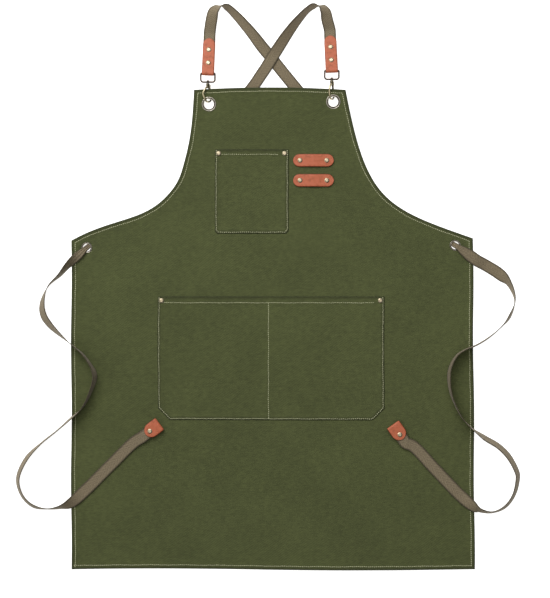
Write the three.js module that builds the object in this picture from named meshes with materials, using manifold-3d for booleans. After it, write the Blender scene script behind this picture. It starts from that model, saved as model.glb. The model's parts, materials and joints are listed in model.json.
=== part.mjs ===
/**
 * Cross-back canvas work apron, laid face up on a flat surface.
 *
 * Millimetres. +X to the viewer's right, +Y from the bottom hem to the bib, +Z up.
 * The origin lies on the surface under the middle of the whole, straps and all; the pieces are laid
 * out from the middle of the bottom hem and moved there at the end.
 *
 * Each webbing strap starts in a leather tab at a snap hook clipped into a bib eyelet, turns over
 * above the bib, crosses the other strap, runs behind the panel to the opposite side eyelet, comes
 * out to the front and ends as a free tail with a leather tip.
 */
import * as THREE from 'three';
import { mergeVertices } from 'three/addons/utils/BufferGeometryUtils.js';
import Module from 'manifold-3d';

const wasm = await Module();
wasm.setup();

// ---------------------------------------------------------------- driving dimensions

const clearance = 0.3; // between pieces that lie against each other
const loose = 0.2; // between stacked layers that a rivet or an eyelet clamps

const apron = {
	width: 686, // across the bottom hem
	length: 819, // bottom hem to the middle of the bib's top
	crown: 4, // the bib's top edge rises this much in its middle
	canvas: 0.9,
	underside: 2.6, // the cloth lies this high, over its folded hem and the straps
	hemWidth: 8,
	hemRise: 0.6, // the bib's hem stands this proud of the cloth
	liftStart: 94, // below the bib's top, where the bib starts to rise over the hooks
	liftHeight: 10.5, // rise at the bib's top
};

// Each armhole is one cubic curve from the bib's corner to the foot of the armhole.
const armholes = {
	left: { bibHalf: 131.8, foot: 259, inset: 0, topHandle: [ 19, - 251 ], footHandle: [ - 112, 64 ] },
	right: { bibHalf: 123.2, foot: 255, inset: 3, topHandle: [ 35.5, - 187 ], footHandle: [ - 150, 52.5 ] },
};

const chestPocket = { width: 125, height: 143, x: - 36.2, top: 104, corner: 4, hem: 10 };
const lapPocket = { width: 385, height: 210, x: - 3.4, top: 354, corner: 20, hem: 12 };
const pocketRise = 0.7; // a pocket's top hem over its single cloth

const leather = { thickness: 1.8 };
const toolLoop = { length: 69, width: 21.5, x: 68.7, rivetSpacing: 45.5, tops: [ 112, 146 ] };

const rivet = { headRadius: 4, domeHeight: 1.2, rim: 0.5, shank: 1.5, bore: 0.85,
	pin: 0.6, back: 0.8 };
const pocketRivetInset = { side: 6.5, top: 7 };

const eyelets = {
	bib: { hole: 7.8, barrel: 0.8, flange: 12.4, height: 1 },
	side: { hole: 6.2, barrel: 0.7, flange: 9.3, height: 1.0 },
};
const washerThickness = 0.7;
const bibEyelets = { left: { x: - 108.5, below: 28 }, right: { x: 102.2, below: 24 } };
const sideEyelets = { left: { inset: 26.5, below: 271 }, right: { inset: 33.5, below: 267 } };

const webbing = { width: 20, thickness: 1.3 };

const tab = { width: 20.6, length: 61, rivets: [ 18, 41 ], webbingStart: 9, pinchLength: 14, foldPlay: 0.7 };
const tip = { width: 25, length: 27, rivet: 18, webbingStart: 6 };

const snap = {
	wire: 2.6, // the hook's wire, across
	bar: 2.4, // the loop's bar, across
	loopWidth: 26.4,
	loopLength: 14.6, // between the middles of the loop's two long bars
	footRound: 3, // inside the loop's two lower corners
	length: 33, // the loop's lower bar to the middle of the hook's wire at its foot
	front: 7.8, // the hook's front wire stands this far from the swivel's axis
	rear: 9, // and its nose this far behind it
	nose: 9.6, // the nose ends this far above the hook's foot
	barrelRadius: 3.3,
	barrelLength: 5.5,
	gate: 1.7, // thickness of the gate
	gateWidth: 2.4,
	ear: 1, // thickness of each ear that holds the gate's pin
};
const swivel = { bore: 1.4, pin: 1.1, head: 2.4, headHeight: 1.2, depth: 4 };
const gateAxle = { pin: 0.65, eye: 1.8, play: 0.12 };
const springWire = 0.35;

// How the two hooks lie: the middle of the loop's lower bar against the middle of the bib's top, and
// the roll about the swivel's axis.
const hookLay = {
	left: { x: - 110.2, above: 8.8, roll: 36, tabLean: - 2.1 },
	right: { x: 99.5, above: 13.4, roll: 28, tabLean: 2.5 },
};
const hookDepth = 0.8; // the swivel's axis lies this far below the cloth's underside, carried on
const tabPitch = - 8.5; // the tab slopes down from the hook towards the surface, in degrees

const liftAngle = Math.atan2( apron.liftHeight, apron.liftStart );
const clothTop = apron.underside + apron.canvas;

// ---------------------------------------------------------------- materials

const finish = ( color, roughness, metalness ) => ( { color, roughness, metalness } );
const finishes = {
	canvas: finish( 0x515a34, 0.92, 0 ),
	pocketCanvas: finish( 0x535c36, 0.92, 0 ),
	webbing: finish( 0x776b58, 0.85, 0 ),
	leather: finish( 0xcc6a4a, 0.6, 0 ),
	rivet: finish( 0xd9cfae, 0.3, 1 ),
	eyelet: finish( 0xc9c6bd, 0.28, 1 ),
	hook: finish( 0x8d887e, 0.32, 1 ),
	spring: finish( 0xa8a8a4, 0.35, 1 ),
};

// ---------------------------------------------------------------- helpers

const degrees = THREE.MathUtils.degToRad;

function piece( parent, name, geometry, finishName ) {

	const mesh = new THREE.Mesh( geometry, new THREE.MeshStandardMaterial( finishes[ finishName ] ) );
	mesh.name = name;
	parent.add( mesh );
	return mesh;

}

function solidFrom( geometry ) {

	const bare = geometry.clone();
	bare.deleteAttribute( 'normal' );
	bare.deleteAttribute( 'uv' );
	const merged = mergeVertices( bare, 1e-4 );
	return new wasm.Manifold( new wasm.Mesh( {
		numProp: 3,
		vertProperties: new Float32Array( merged.attributes.position.array ),
		triVerts: new Uint32Array( merged.index.array ),
	} ) );

}

function geometryFrom( solid ) {

	const mesh = solid.getMesh();
	const geometry = new THREE.BufferGeometry();
	geometry.setAttribute( 'position', new THREE.BufferAttribute( mesh.vertProperties, 3 ) );
	geometry.setIndex( new THREE.BufferAttribute( mesh.triVerts, 1 ) );
	geometry.computeVertexNormals();
	return geometry;

}

// Joins the geometries in add, then cuts away those in cut.
function join( add, cut = [] ) {

	let solid = add.map( solidFrom ).reduce( ( whole, next ) => whole.add( next ) );
	for ( const tool of cut ) solid = solid.subtract( solidFrom( tool ) );
	return geometryFrom( solid );

}

function intersect( a, b ) {

	return geometryFrom( solidFrom( a ).intersect( solidFrom( b ) ) );

}

// A flat plate of the given outline, from height low to height high.
function plate( shape, low, high, curveSegments = 8 ) {

	const geometry = new THREE.ExtrudeGeometry( shape, { depth: high - low, bevelEnabled: false, curveSegments } );
	return geometry.translate( 0, 0, low );

}

// An upright cylinder at x, y, used to pierce or to build.
function post( x, y, radius, low, high, segments = 16 ) {

	const geometry = new THREE.CylinderGeometry( radius, radius, high - low, segments );
	return geometry.rotateX( Math.PI / 2 ).translate( x, y, ( low + high ) / 2 );

}

function box( min, max ) {

	const size = max.map( ( value, i ) => value - min[ i ] );
	const middle = max.map( ( value, i ) => ( value + min[ i ] ) / 2 );
	return new THREE.BoxGeometry( ...size ).translate( ...middle );

}

// A turned piece standing along Z: the profile's points are [ radius, height ].
function turned( profile, segments ) {

	const points = profile.map( ( [ radius, height ] ) => new THREE.Vector2( radius, height ) );
	return new THREE.LatheGeometry( points, segments ).rotateX( Math.PI / 2 );

}

function polygon( points ) {

	return new THREE.Shape( points.map( ( [ x, y ] ) => new THREE.Vector2( x, y ) ) );

}

// The outline moved inwards by a distance, keeping its corners mitred.
function insetOutline( points, distance ) {

	const count = points.length;
	return points.map( ( point, i ) => {

		const before = points[ ( i + count - 1 ) % count ];
		const after = points[ ( i + 1 ) % count ];
		const arrive = point.clone().sub( before ).normalize();
		const leave = after.clone().sub( point ).normalize();
		const inward = new THREE.Vector2( - arrive.y - leave.y, arrive.x + leave.x ).normalize();
		const shorten = inward.dot( new THREE.Vector2( - leave.y, leave.x ) );
		return point.clone().addScaledVector( inward, distance / shorten );

	} );

}

// ---------------------------------------------------------------- the apron's cloth

const sideSign = { left: - 1, right: 1 };
const sides = [ 'left', 'right' ];
const halfWidth = apron.width / 2;
const bibTop = apron.length - apron.crown;

function apronOutline() {

	const { left, right } = armholes;
	const leftFoot = [ - halfWidth + left.inset, apron.length - left.foot ];
	const rightFoot = [ halfWidth - right.inset, apron.length - right.foot ];
	const shape = new THREE.Shape();
	shape.moveTo( - halfWidth, 0 );
	shape.lineTo( halfWidth, 0 );
	shape.lineTo( ...rightFoot );
	shape.bezierCurveTo(
		rightFoot[ 0 ] + right.footHandle[ 0 ], rightFoot[ 1 ] + right.footHandle[ 1 ],
		right.bibHalf + right.topHandle[ 0 ], bibTop + right.topHandle[ 1 ],
		right.bibHalf, bibTop );
	shape.quadraticCurveTo( ( right.bibHalf - left.bibHalf ) / 2, bibTop + 2 * apron.crown, - left.bibHalf, bibTop );
	shape.bezierCurveTo(
		- left.bibHalf - left.topHandle[ 0 ], bibTop + left.topHandle[ 1 ],
		leftFoot[ 0 ] - left.footHandle[ 0 ], leftFoot[ 1 ] + left.footHandle[ 1 ],
		...leftFoot );
	return shape.getPoints( 14 );

}

const bibPlace = Object.fromEntries( sides.map( ( side ) =>
	[ side, new THREE.Vector2( bibEyelets[ side ].x, apron.length - bibEyelets[ side ].below ) ] ) );
const sidePlace = Object.fromEntries( sides.map( ( side ) => [ side, new THREE.Vector2(
	sideSign[ side ] * ( halfWidth - sideEyelets[ side ].inset ), apron.length - sideEyelets[ side ].below ) ] ) );

const pocketRivets = ( pocket ) => [ - 1, 1 ].map( ( sign ) => new THREE.Vector2(
	pocket.x + sign * ( pocket.width / 2 - pocketRivetInset.side ), apron.length - pocket.top - pocketRivetInset.top ) );
const loopRivets = ( top ) => [ - 1, 1 ].map( ( sign ) => new THREE.Vector2(
	toolLoop.x + sign * toolLoop.rivetSpacing / 2, apron.length - top - toolLoop.width / 2 ) );

const liftLine = apron.length - apron.liftStart;

// How far the bib has risen at this distance from the bottom hem.
const lift = ( y ) => Math.max( 0, y - liftLine ) * Math.tan( liftAngle );

function bodyPanel() {

	const outline = apronOutline();
	const hemInner = insetOutline( outline, apron.hemWidth );
	const cloth = plate( new THREE.Shape( outline ), apron.underside, clothTop );
	const ring = new THREE.Shape( outline );
	ring.holes.push( new THREE.Path( hemInner ) );
	const armholeFoot = apron.length - armholes.left.foot - apron.hemWidth;
	const below = box( [ - apron.width, - 1, - 1 ], [ apron.width, armholeFoot, apron.length ] );
	const sideHem = intersect( plate( ring, 0, clothTop ), below );
	const bibHem = plate( ring, apron.underside + apron.canvas / 2, clothTop + apron.hemRise );
	const shankHole = rivet.shank + clearance;
	const holes = [
		...[ chestPocket, lapPocket ].flatMap( pocketRivets ),
		...toolLoop.tops.flatMap( loopRivets ),
	].map( ( place ) => post( place.x, place.y, shankHole, - 1, clothTop + 1, 10 ) );
	for ( const side of sides ) {

		for ( const [ place, eyelet ] of [ [ bibPlace[ side ], eyelets.bib ], [ sidePlace[ side ], eyelets.side ] ] ) {

			holes.push( post( place.x, place.y, eyelet.hole + eyelet.barrel + clearance, - 1, clothTop + 2, 24 ) );

		}

	}

	const flat = join( [ cloth, sideHem, bibHem ], holes );
	const lowPart = intersect( flat, box( [ - apron.width, - 1, - 1 ], [ apron.width, liftLine, 99 ] ) );
	const highPart = intersect( flat, box( [ - apron.width, liftLine, - 1 ], [ apron.width, apron.length + 99, 99 ] ) );
	const slope = Math.tan( liftAngle );
	const shear = new THREE.Matrix4().set( 1, 0, 0, 0, 0, 1, 0, 0, 0, slope, 1, - slope * liftLine, 0, 0, 0, 1 );
	return join( [ lowPart, highPart.applyMatrix4( shear ) ] );

}

// A patch pocket lying on the cloth: cut corners at its foot and a doubled hem along its mouth.
function patchPocket( pocket ) {

	const { width, height, corner } = pocket;
	const half = width / 2;
	const low = clothTop + clearance;
	const outline = polygon( [
		[ - half + corner, - height ], [ half - corner, - height ], [ half, - height + corner ],
		[ half, 0 ], [ - half, 0 ], [ - half, - height + corner ],
	] );
	const mouth = polygon( [ [ - half, - pocket.hem ], [ half, - pocket.hem ], [ half, 0 ], [ - half, 0 ] ] );
	const patch = plate( outline, low, low + apron.canvas );
	const hem = plate( mouth, low, low + apron.canvas + pocketRise );
	const top = apron.length - pocket.top;
	const holes = pocketRivets( pocket ).map( ( place ) =>
		post( place.x - pocket.x, place.y - top, rivet.shank + clearance, low - 1, low + 9, 10 ) );
	return join( [ patch, hem ], holes ).translate( pocket.x, top, 0 );

}

// A strip of leather with two round ends, along X.
function stadium( length, width ) {

	const radius = width / 2;
	const reach = length / 2 - radius;
	const shape = new THREE.Shape();
	shape.absarc( reach, 0, radius, - Math.PI / 2, Math.PI / 2 );
	shape.absarc( - reach, 0, radius, Math.PI / 2, 3 * Math.PI / 2 );
	return shape;

}

function toolLoopGeometry( top ) {

	const low = clothTop + clearance;
	const strip = plate( stadium( toolLoop.length, toolLoop.width ), low, low + leather.thickness );
	const y = apron.length - top - toolLoop.width / 2;
	const holes = loopRivets( top ).map( ( place ) =>
		post( place.x - toolLoop.x, 0, rivet.shank + clearance, low - 1, low + 9, 10 ) );
	return join( [ strip ], holes ).translate( toolLoop.x, y, 0 );

}

// ---------------------------------------------------------------- rivets and eyelets

// A tubular rivet through a stack of layers from low to high: the cap with its shank, and the back
// with the pin that spreads it.
function addRivet( parent, name, place, low, high, headRadius = rivet.headRadius ) {

	const seat = high + loose;
	const foot = low - loose;
	const capProfile = [
		[ 0, seat + rivet.domeHeight ], [ headRadius * 0.6, seat + rivet.domeHeight * 0.82 ],
		[ headRadius, seat + rivet.rim ], [ headRadius, seat ], [ rivet.shank, seat ],
		[ rivet.shank, foot + loose ], [ rivet.bore, foot + loose ], [ rivet.bore, seat ], [ 0, seat ],
	];
	const backProfile = [
		[ 0, seat - loose ], [ rivet.pin, seat - loose ], [ rivet.pin, foot ],
		[ headRadius, foot ], [ headRadius * 0.9, foot - rivet.back ], [ 0, foot - rivet.back ],
	];
	for ( const [ part, profile ] of [ [ 'cap', capProfile ], [ 'back', backProfile ] ] ) {

		const mesh = piece( parent, `${ name }_${ part }`, turned( profile.slice().reverse(), 8 ), 'rivet' );
		mesh.position.set( place.x, place.y, 0 );

	}

}

// An eyelet set in cloth that lies from low to high: the grommet in front and the washer behind.
function addEyelet( parent, name, eyelet, low, high ) {

	const { hole, barrel, flange, height } = eyelet;
	const seat = high + loose;
	const washerTop = low - loose;
	const washerLow = washerTop - washerThickness;
	const wall = hole + barrel;
	const grommet = [
		[ hole, washerLow ], [ wall, washerLow ], [ wall, seat ], [ flange, seat ],
		[ flange, seat + height * 0.4 ], [ ( wall + flange ) / 2, seat + height ],
		[ hole + barrel * 0.4, seat + height * 0.75 ], [ hole, seat ], [ hole, washerLow ],
	];
	const washerHole = wall + clearance;
	const washer = [
		[ washerHole, washerLow ], [ flange * 0.96, washerLow ], [ flange, washerTop ],
		[ washerHole, washerTop ], [ washerHole, washerLow ],
	];
	piece( parent, name, turned( grommet, 18 ), 'eyelet' );
	piece( parent, `${ name }_washer`, turned( washer, 18 ), 'eyelet' );

}

// ---------------------------------------------------------------- folded leather

// Leather folded round the Y = 0 line: cheeks of the given length on both sides of the webbing,
// straight across the fold and round at the free end. The fold holds a bar of the given radius.
function foldedLeather( width, length, foldRadius, rivetPlaces ) {

	const cheek = webbing.thickness / 2 + clearance;
	const neck = foldRadius > cheek ? tab.pinchLength : 2;
	const outer = leather.thickness;
	const profile = new THREE.Shape();
	profile.moveTo( length, - cheek - outer );
	profile.lineTo( length, - cheek );
	profile.lineTo( neck, - cheek );
	profile.lineTo( 0, - foldRadius );
	profile.absarc( 0, 0, foldRadius, - Math.PI / 2, Math.PI / 2, true );
	profile.lineTo( neck, cheek );
	profile.lineTo( length, cheek );
	profile.lineTo( length, cheek + outer );
	profile.lineTo( neck, cheek + outer );
	profile.lineTo( 0, foldRadius + outer );
	profile.absarc( 0, 0, foldRadius + outer, Math.PI / 2, - Math.PI / 2 );
	profile.lineTo( neck, - cheek - outer );
	const fold = new THREE.ExtrudeGeometry( profile, { depth: width, bevelEnabled: false, curveSegments: 8 } );
	// the profile's own x runs along the strap and its y stands up
	fold.applyMatrix4( new THREE.Matrix4().makeBasis(
		new THREE.Vector3( 0, 1, 0 ), new THREE.Vector3( 0, 0, 1 ), new THREE.Vector3( 1, 0, 0 ) ) );
	fold.translate( - width / 2, 0, 0 );
	const half = width / 2;
	const plan = new THREE.Shape();
	plan.moveTo( - half, - foldRadius - 9 );
	plan.lineTo( half, - foldRadius - 9 );
	plan.lineTo( half, length - half );
	plan.absarc( 0, length - half, half, 0, Math.PI );
	const trimmed = intersect( fold, plate( plan, - 20, 20, 12 ) );
	const holes = rivetPlaces.map( ( along ) => post( 0, along, rivet.shank + clearance, - 9, 9, 10 ) );
	return join( [ trimmed ], holes );

}

const stackHalf = webbing.thickness / 2 + clearance + leather.thickness;

// ---------------------------------------------------------------- webbing

// How high the webbing's middle stands over its base when it has rolled this far.
const standing = ( roll, width ) => width / 2 * Math.abs( Math.sin( degrees( roll ) ) )
	+ webbing.thickness / 2 * Math.abs( Math.cos( degrees( roll ) ) );

/**
 * The middle line of a strap. Each row is [ x, y, base, roll, width ]: the plan position, the height
 * of what the webbing rests on there (or the level of its own middle), how far it has rolled about its
 * own length in degrees (0 face up, 90 on edge, 180 face down) and its width where it is pinched.
 * ExtrudeGeometry sweeps the webbing's section along it.
 */
class WebbingPath extends THREE.Curve {

	constructor( rows, stationsPerRow ) {

		super();
		this.stations = ( rows.length - 1 ) * stationsPerRow;
		const widthOf = ( row ) => row.width ?? webbing.width;
		this.twist = new THREE.CatmullRomCurve3(
			rows.map( ( row ) => new THREE.Vector3( row.roll, widthOf( row ), 0 ) ), false, 'catmullrom', 0.5 );
		this.plan = new THREE.CatmullRomCurve3( rows.map( ( row ) =>
			new THREE.Vector3( row.x, row.y, row.base ?? row.level - standing( row.roll, widthOf( row ) ) ) ) );

	}

	getPoint( t, target = new THREE.Vector3() ) {

		const { x: roll, y: width } = this.twist.getPoint( t );
		this.plan.getPoint( t, target );
		target.z = Math.max( 0, target.z ) + standing( roll, width );
		return target;

	}

	getSpacedPoints( divisions ) {

		return this.getPoints( divisions );

	}

	computeFrenetFrames( segments ) {

		const frames = { tangents: [], normals: [], binormals: [] };
		const up = new THREE.Vector3( 0, 0, 1 );
		for ( let i = 0; i <= segments; i ++ ) {

			const t = i / segments;
			const tangent = this.getTangent( t );
			const across = new THREE.Vector3().crossVectors( tangent, up ).normalize();
			const over = new THREE.Vector3().crossVectors( across, tangent );
			const { x: roll, y: width } = this.twist.getPoint( t );
			const side = across.multiplyScalar( Math.cos( degrees( roll ) ) )
				.addScaledVector( over, Math.sin( degrees( roll ) ) );
			frames.tangents.push( tangent );
			frames.binormals.push( new THREE.Vector3().crossVectors( tangent, side ) );
			frames.normals.push( side.multiplyScalar( width / webbing.width ) );

		}

		return frames;

	}

}

const stationsPerRow = 3;

function strapGeometry( rows ) {

	const half = webbing.width / 2;
	const thick = webbing.thickness / 2;
	const section = polygon( [ [ - half, - thick ], [ half, - thick ], [ half, thick ], [ - half, thick ] ] );
	const path = new WebbingPath( rows, stationsPerRow );
	return new THREE.ExtrudeGeometry( section, { steps: path.stations, extrudePath: path, bevelEnabled: false } );

}

const row = ( x, y, base, roll, width ) => ( { x, y, base, roll, width } );

// ---------------------------------------------------------------- snap hooks

// The rectangular loop with its swivel eye; the eye's bore lies along Y through the lower bar.
function snapLoop() {

	const half = snap.loopWidth / 2 - snap.bar;
	const bar = snap.bar / 2;
	const rim = ( grow, topRadius, footRadius ) => {

		const path = new THREE.Path();
		const right = half + grow;
		const low = bar - grow;
		const high = snap.loopLength - bar + grow;
		path.absarc( right - topRadius, high - topRadius, topRadius, 0, Math.PI / 2 );
		path.absarc( - right + topRadius, high - topRadius, topRadius, Math.PI / 2, Math.PI );
		path.absarc( - right + footRadius, low + footRadius, footRadius, Math.PI, 3 * Math.PI / 2 );
		path.absarc( right - footRadius, low + footRadius, footRadius, 3 * Math.PI / 2, 2 * Math.PI );
		return path.getPoints( 2 );

	};

	const soften = 0.5;
	const frame = new THREE.Shape( rim( snap.bar - soften, 1.5, snap.footRound + snap.bar - soften ) );
	frame.holes.push( new THREE.Path( rim( soften, soften + 0.3, snap.footRound + soften ).reverse() ) );
	const flat = new THREE.ExtrudeGeometry( frame, { depth: snap.bar - 2 * soften, bevelEnabled: true,
		bevelSize: soften, bevelThickness: soften, bevelSegments: 1, curveSegments: 4 } );
	flat.translate( 0, 0, soften - snap.bar / 2 );
	const eye = new THREE.CylinderGeometry( 2.7, 2.7, 2 * eyeHalf, 12 );
	const bore = new THREE.CylinderGeometry( swivel.bore, swivel.bore, 4 * eyeHalf, 12 );
	return join( [ flat, eye ], [ bore ] );

}

const eyeHalf = snap.bar / 2 + 0.5;
const barrelTop = - eyeHalf - clearance;
const barrelFoot = barrelTop - snap.barrelLength;
const hinge = { y: barrelFoot - 1.8, z: - 3.6 };
const slotHalf = snap.gateWidth / 2 + clearance;

// A round bar across the hook, at the gate's hinge.
function hingeBar( radius, length ) {

	return new THREE.CylinderGeometry( radius, radius, length, 12 ).rotateZ( Math.PI / 2 ).translate( 0, hinge.y, hinge.z );

}

// A wire bent in the plane of the hook, through points given as [ y, z ].
function bentWire( points, radius, steps, sides ) {

	const curve = new THREE.CatmullRomCurve3( points.map( ( [ y, z ] ) => new THREE.Vector3( 0, y, z ) ) );
	const section = polygon( Array.from( { length: sides }, ( _, i ) => {

		const angle = 2 * Math.PI * ( i + 0.5 ) / sides;
		return [ radius * Math.cos( angle ), radius * Math.sin( angle ) ];

	} ) );
	return new THREE.ExtrudeGeometry( section, { steps, extrudePath: curve, bevelEnabled: false } );

}

// A plate cut to an outline of [ y, z ] and standing in the plane of the hook, across its middle.
function uprightPlate( shape, width ) {

	const geometry = new THREE.ExtrudeGeometry( shape, { depth: width, bevelEnabled: false, curveSegments: 8 } );
	geometry.applyMatrix4( new THREE.Matrix4().makeBasis(
		new THREE.Vector3( 0, 1, 0 ), new THREE.Vector3( 0, 0, 1 ), new THREE.Vector3( 1, 0, 0 ) ) );
	return geometry.translate( - width / 2, 0, 0 );

}

// The hook body: a turned barrel that holds the swivel pin, the bent hook, and two ears for the gate.
function hookBody() {

	const { front, rear, barrelRadius } = snap;
	const foot = - snap.length;
	const barrel = new THREE.LatheGeometry( [
		[ 0, barrelFoot ], [ barrelRadius * 0.85, barrelFoot ], [ barrelRadius, barrelFoot + 0.8 ],
		[ barrelRadius, barrelTop - 1.6 ], [ barrelRadius * 0.8, barrelTop ], [ 0, barrelTop ],
	].map( ( [ radius, y ] ) => new THREE.Vector2( radius, y ) ), 16 );
	const wire = bentWire( [
		[ barrelFoot + 2, 0.9 ], [ barrelFoot - 0.6, 3 ], [ barrelFoot - 3, 5.8 ],
		[ barrelFoot - 6.5, front - 0.3 ], [ barrelFoot - 12, front ], [ foot + 5.6, front - 0.1 ],
		[ foot + 2, front - 2 ], [ foot + 0.3, front - 5.2 ], [ foot, 0 ],
		[ foot + 0.5, 4.6 - rear ], [ foot + 2.6, 1.5 - rear ], [ foot + 6, - rear ], [ foot + snap.nose, - rear ],
	], snap.wire / 2, 30, 7 );
	const earOuter = slotHalf + snap.ear;
	const ears = box( [ - earOuter, hinge.y - 1.9, hinge.z - 1.9 ], [ earOuter, barrelFoot + 2, 0.6 ] );
	const slot = box( [ - slotHalf, hinge.y - 7, hinge.z - 6 ], [ slotHalf, hinge.y + 2.5, hinge.z + 2.6 ] );
	const shankHole = new THREE.CylinderGeometry( swivel.pin + 0.1, swivel.pin + 0.1, 2 * swivel.depth, 16 )
		.translate( 0, barrelTop, 0 );
	const pinHole = hingeBar( gateAxle.pin + gateAxle.play, 20 );
	return join( [ barrel, wire, ears ], [ slot, pinHole, shankHole ] );

}

// The gate closes on the inside of the nose and opens into the hook.
function gateGeometry() {

	const tip = - snap.length + snap.nose - 1.2;
	const outside = - snap.rear + snap.wire / 2 + clearance;
	const outline = new THREE.Shape();
	outline.absarc( hinge.y, hinge.z, gateAxle.eye, degrees( - 75 ), degrees( 105 ) );
	outline.lineTo( tip, outside + snap.gate );
	outline.lineTo( tip, outside );
	return join( [ uprightPlate( outline, snap.gateWidth ) ], [ hingeBar( gateAxle.pin + gateAxle.play, 20 ) ] );

}

// A bent leaf of wire between the barrel's slot and the gate's inner side.
function gateSpring() {

	const ceiling = hinge.z + 2.6 - springWire - 0.1;
	return bentWire( [
		[ hinge.y + 1.9, ceiling - 0.2 ], [ hinge.y, ceiling ], [ hinge.y - 2, ceiling - 0.3 ],
		[ hinge.y - 5, ceiling - 1 ],
	], springWire, 8, 6 );

}

function swivelPin() {

	const seat = eyeHalf + clearance;
	return new THREE.LatheGeometry( [
		[ 0, barrelTop - swivel.depth + 0.2 ], [ swivel.pin, barrelTop - swivel.depth + 0.2 ], [ swivel.pin, seat ],
		[ swivel.head, seat ], [ swivel.head * 0.9, seat + swivel.headHeight * 0.6 ],
		[ swivel.head * 0.4, seat + swivel.headHeight ], [ 0, seat + swivel.headHeight ],
	].map( ( [ radius, y ] ) => new THREE.Vector2( radius, y ) ), 16 );

}

// Hook groups: the outer one carries the loop, and the rolled one what turns on the swivel.
function addSnapHook( parent, side ) {

	const lay = hookLay[ side ];
	const y = apron.length + lay.above;
	const carried = new THREE.Group();
	carried.position.set( lay.x, y, apron.underside + lift( y ) - hookDepth );
	carried.rotation.x = liftAngle;
	parent.add( carried );
	const rolled = new THREE.Group();
	rolled.rotation.y = - degrees( lay.roll );
	carried.add( rolled );
	piece( carried, `snap_loop_${ side }`, snapLoop(), 'hook' );
	piece( rolled, `swivel_pin_${ side }`, swivelPin(), 'hook' );
	piece( rolled, `snap_hook_${ side }`, hookBody(), 'hook' );
	piece( rolled, `hook_gate_${ side }`, gateGeometry(), 'hook' );
	piece( rolled, `gate_pin_${ side }`, hingeBar( gateAxle.pin, 2 * ( slotHalf + snap.ear ) ), 'hook' );
	piece( rolled, `gate_spring_${ side }`, gateSpring(), 'spring' );
	return carried;

}

// The shoulder tab: leather folded round the loop's upper bar.
function addTab( parent, side, carried ) {

	carried.updateMatrixWorld( true );
	const group = new THREE.Group();
	group.position.copy( carried.localToWorld( new THREE.Vector3( 0, snap.loopLength, 0 ) ) );
	group.rotation.set( degrees( tabPitch ), 0, degrees( hookLay[ side ].tabLean ), 'ZXY' );
	parent.add( group );
	const leatherPiece = foldedLeather( tab.width, tab.length, snap.bar / 2 + tab.foldPlay, tab.rivets );
	piece( group, `shoulder_tab_${ side }`, leatherPiece, 'leather' );
	tab.rivets.forEach( ( along, i ) =>
		addRivet( group, `tab_rivet_${ side }_${ i + 1 }`, new THREE.Vector2( 0, along ), - stackHalf, stackHalf ) );
	group.updateMatrixWorld( true );
	return group;

}

// ---------------------------------------------------------------- straps

const onCloth = clothTop + clearance; // the base of what lies on the front of the apron
const onHem = clothTop + apron.hemRise + clearance;
const table = 0;
const onStrap = webbing.thickness + 0.4; // where the straps cross, over the other strap and its slope

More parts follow.
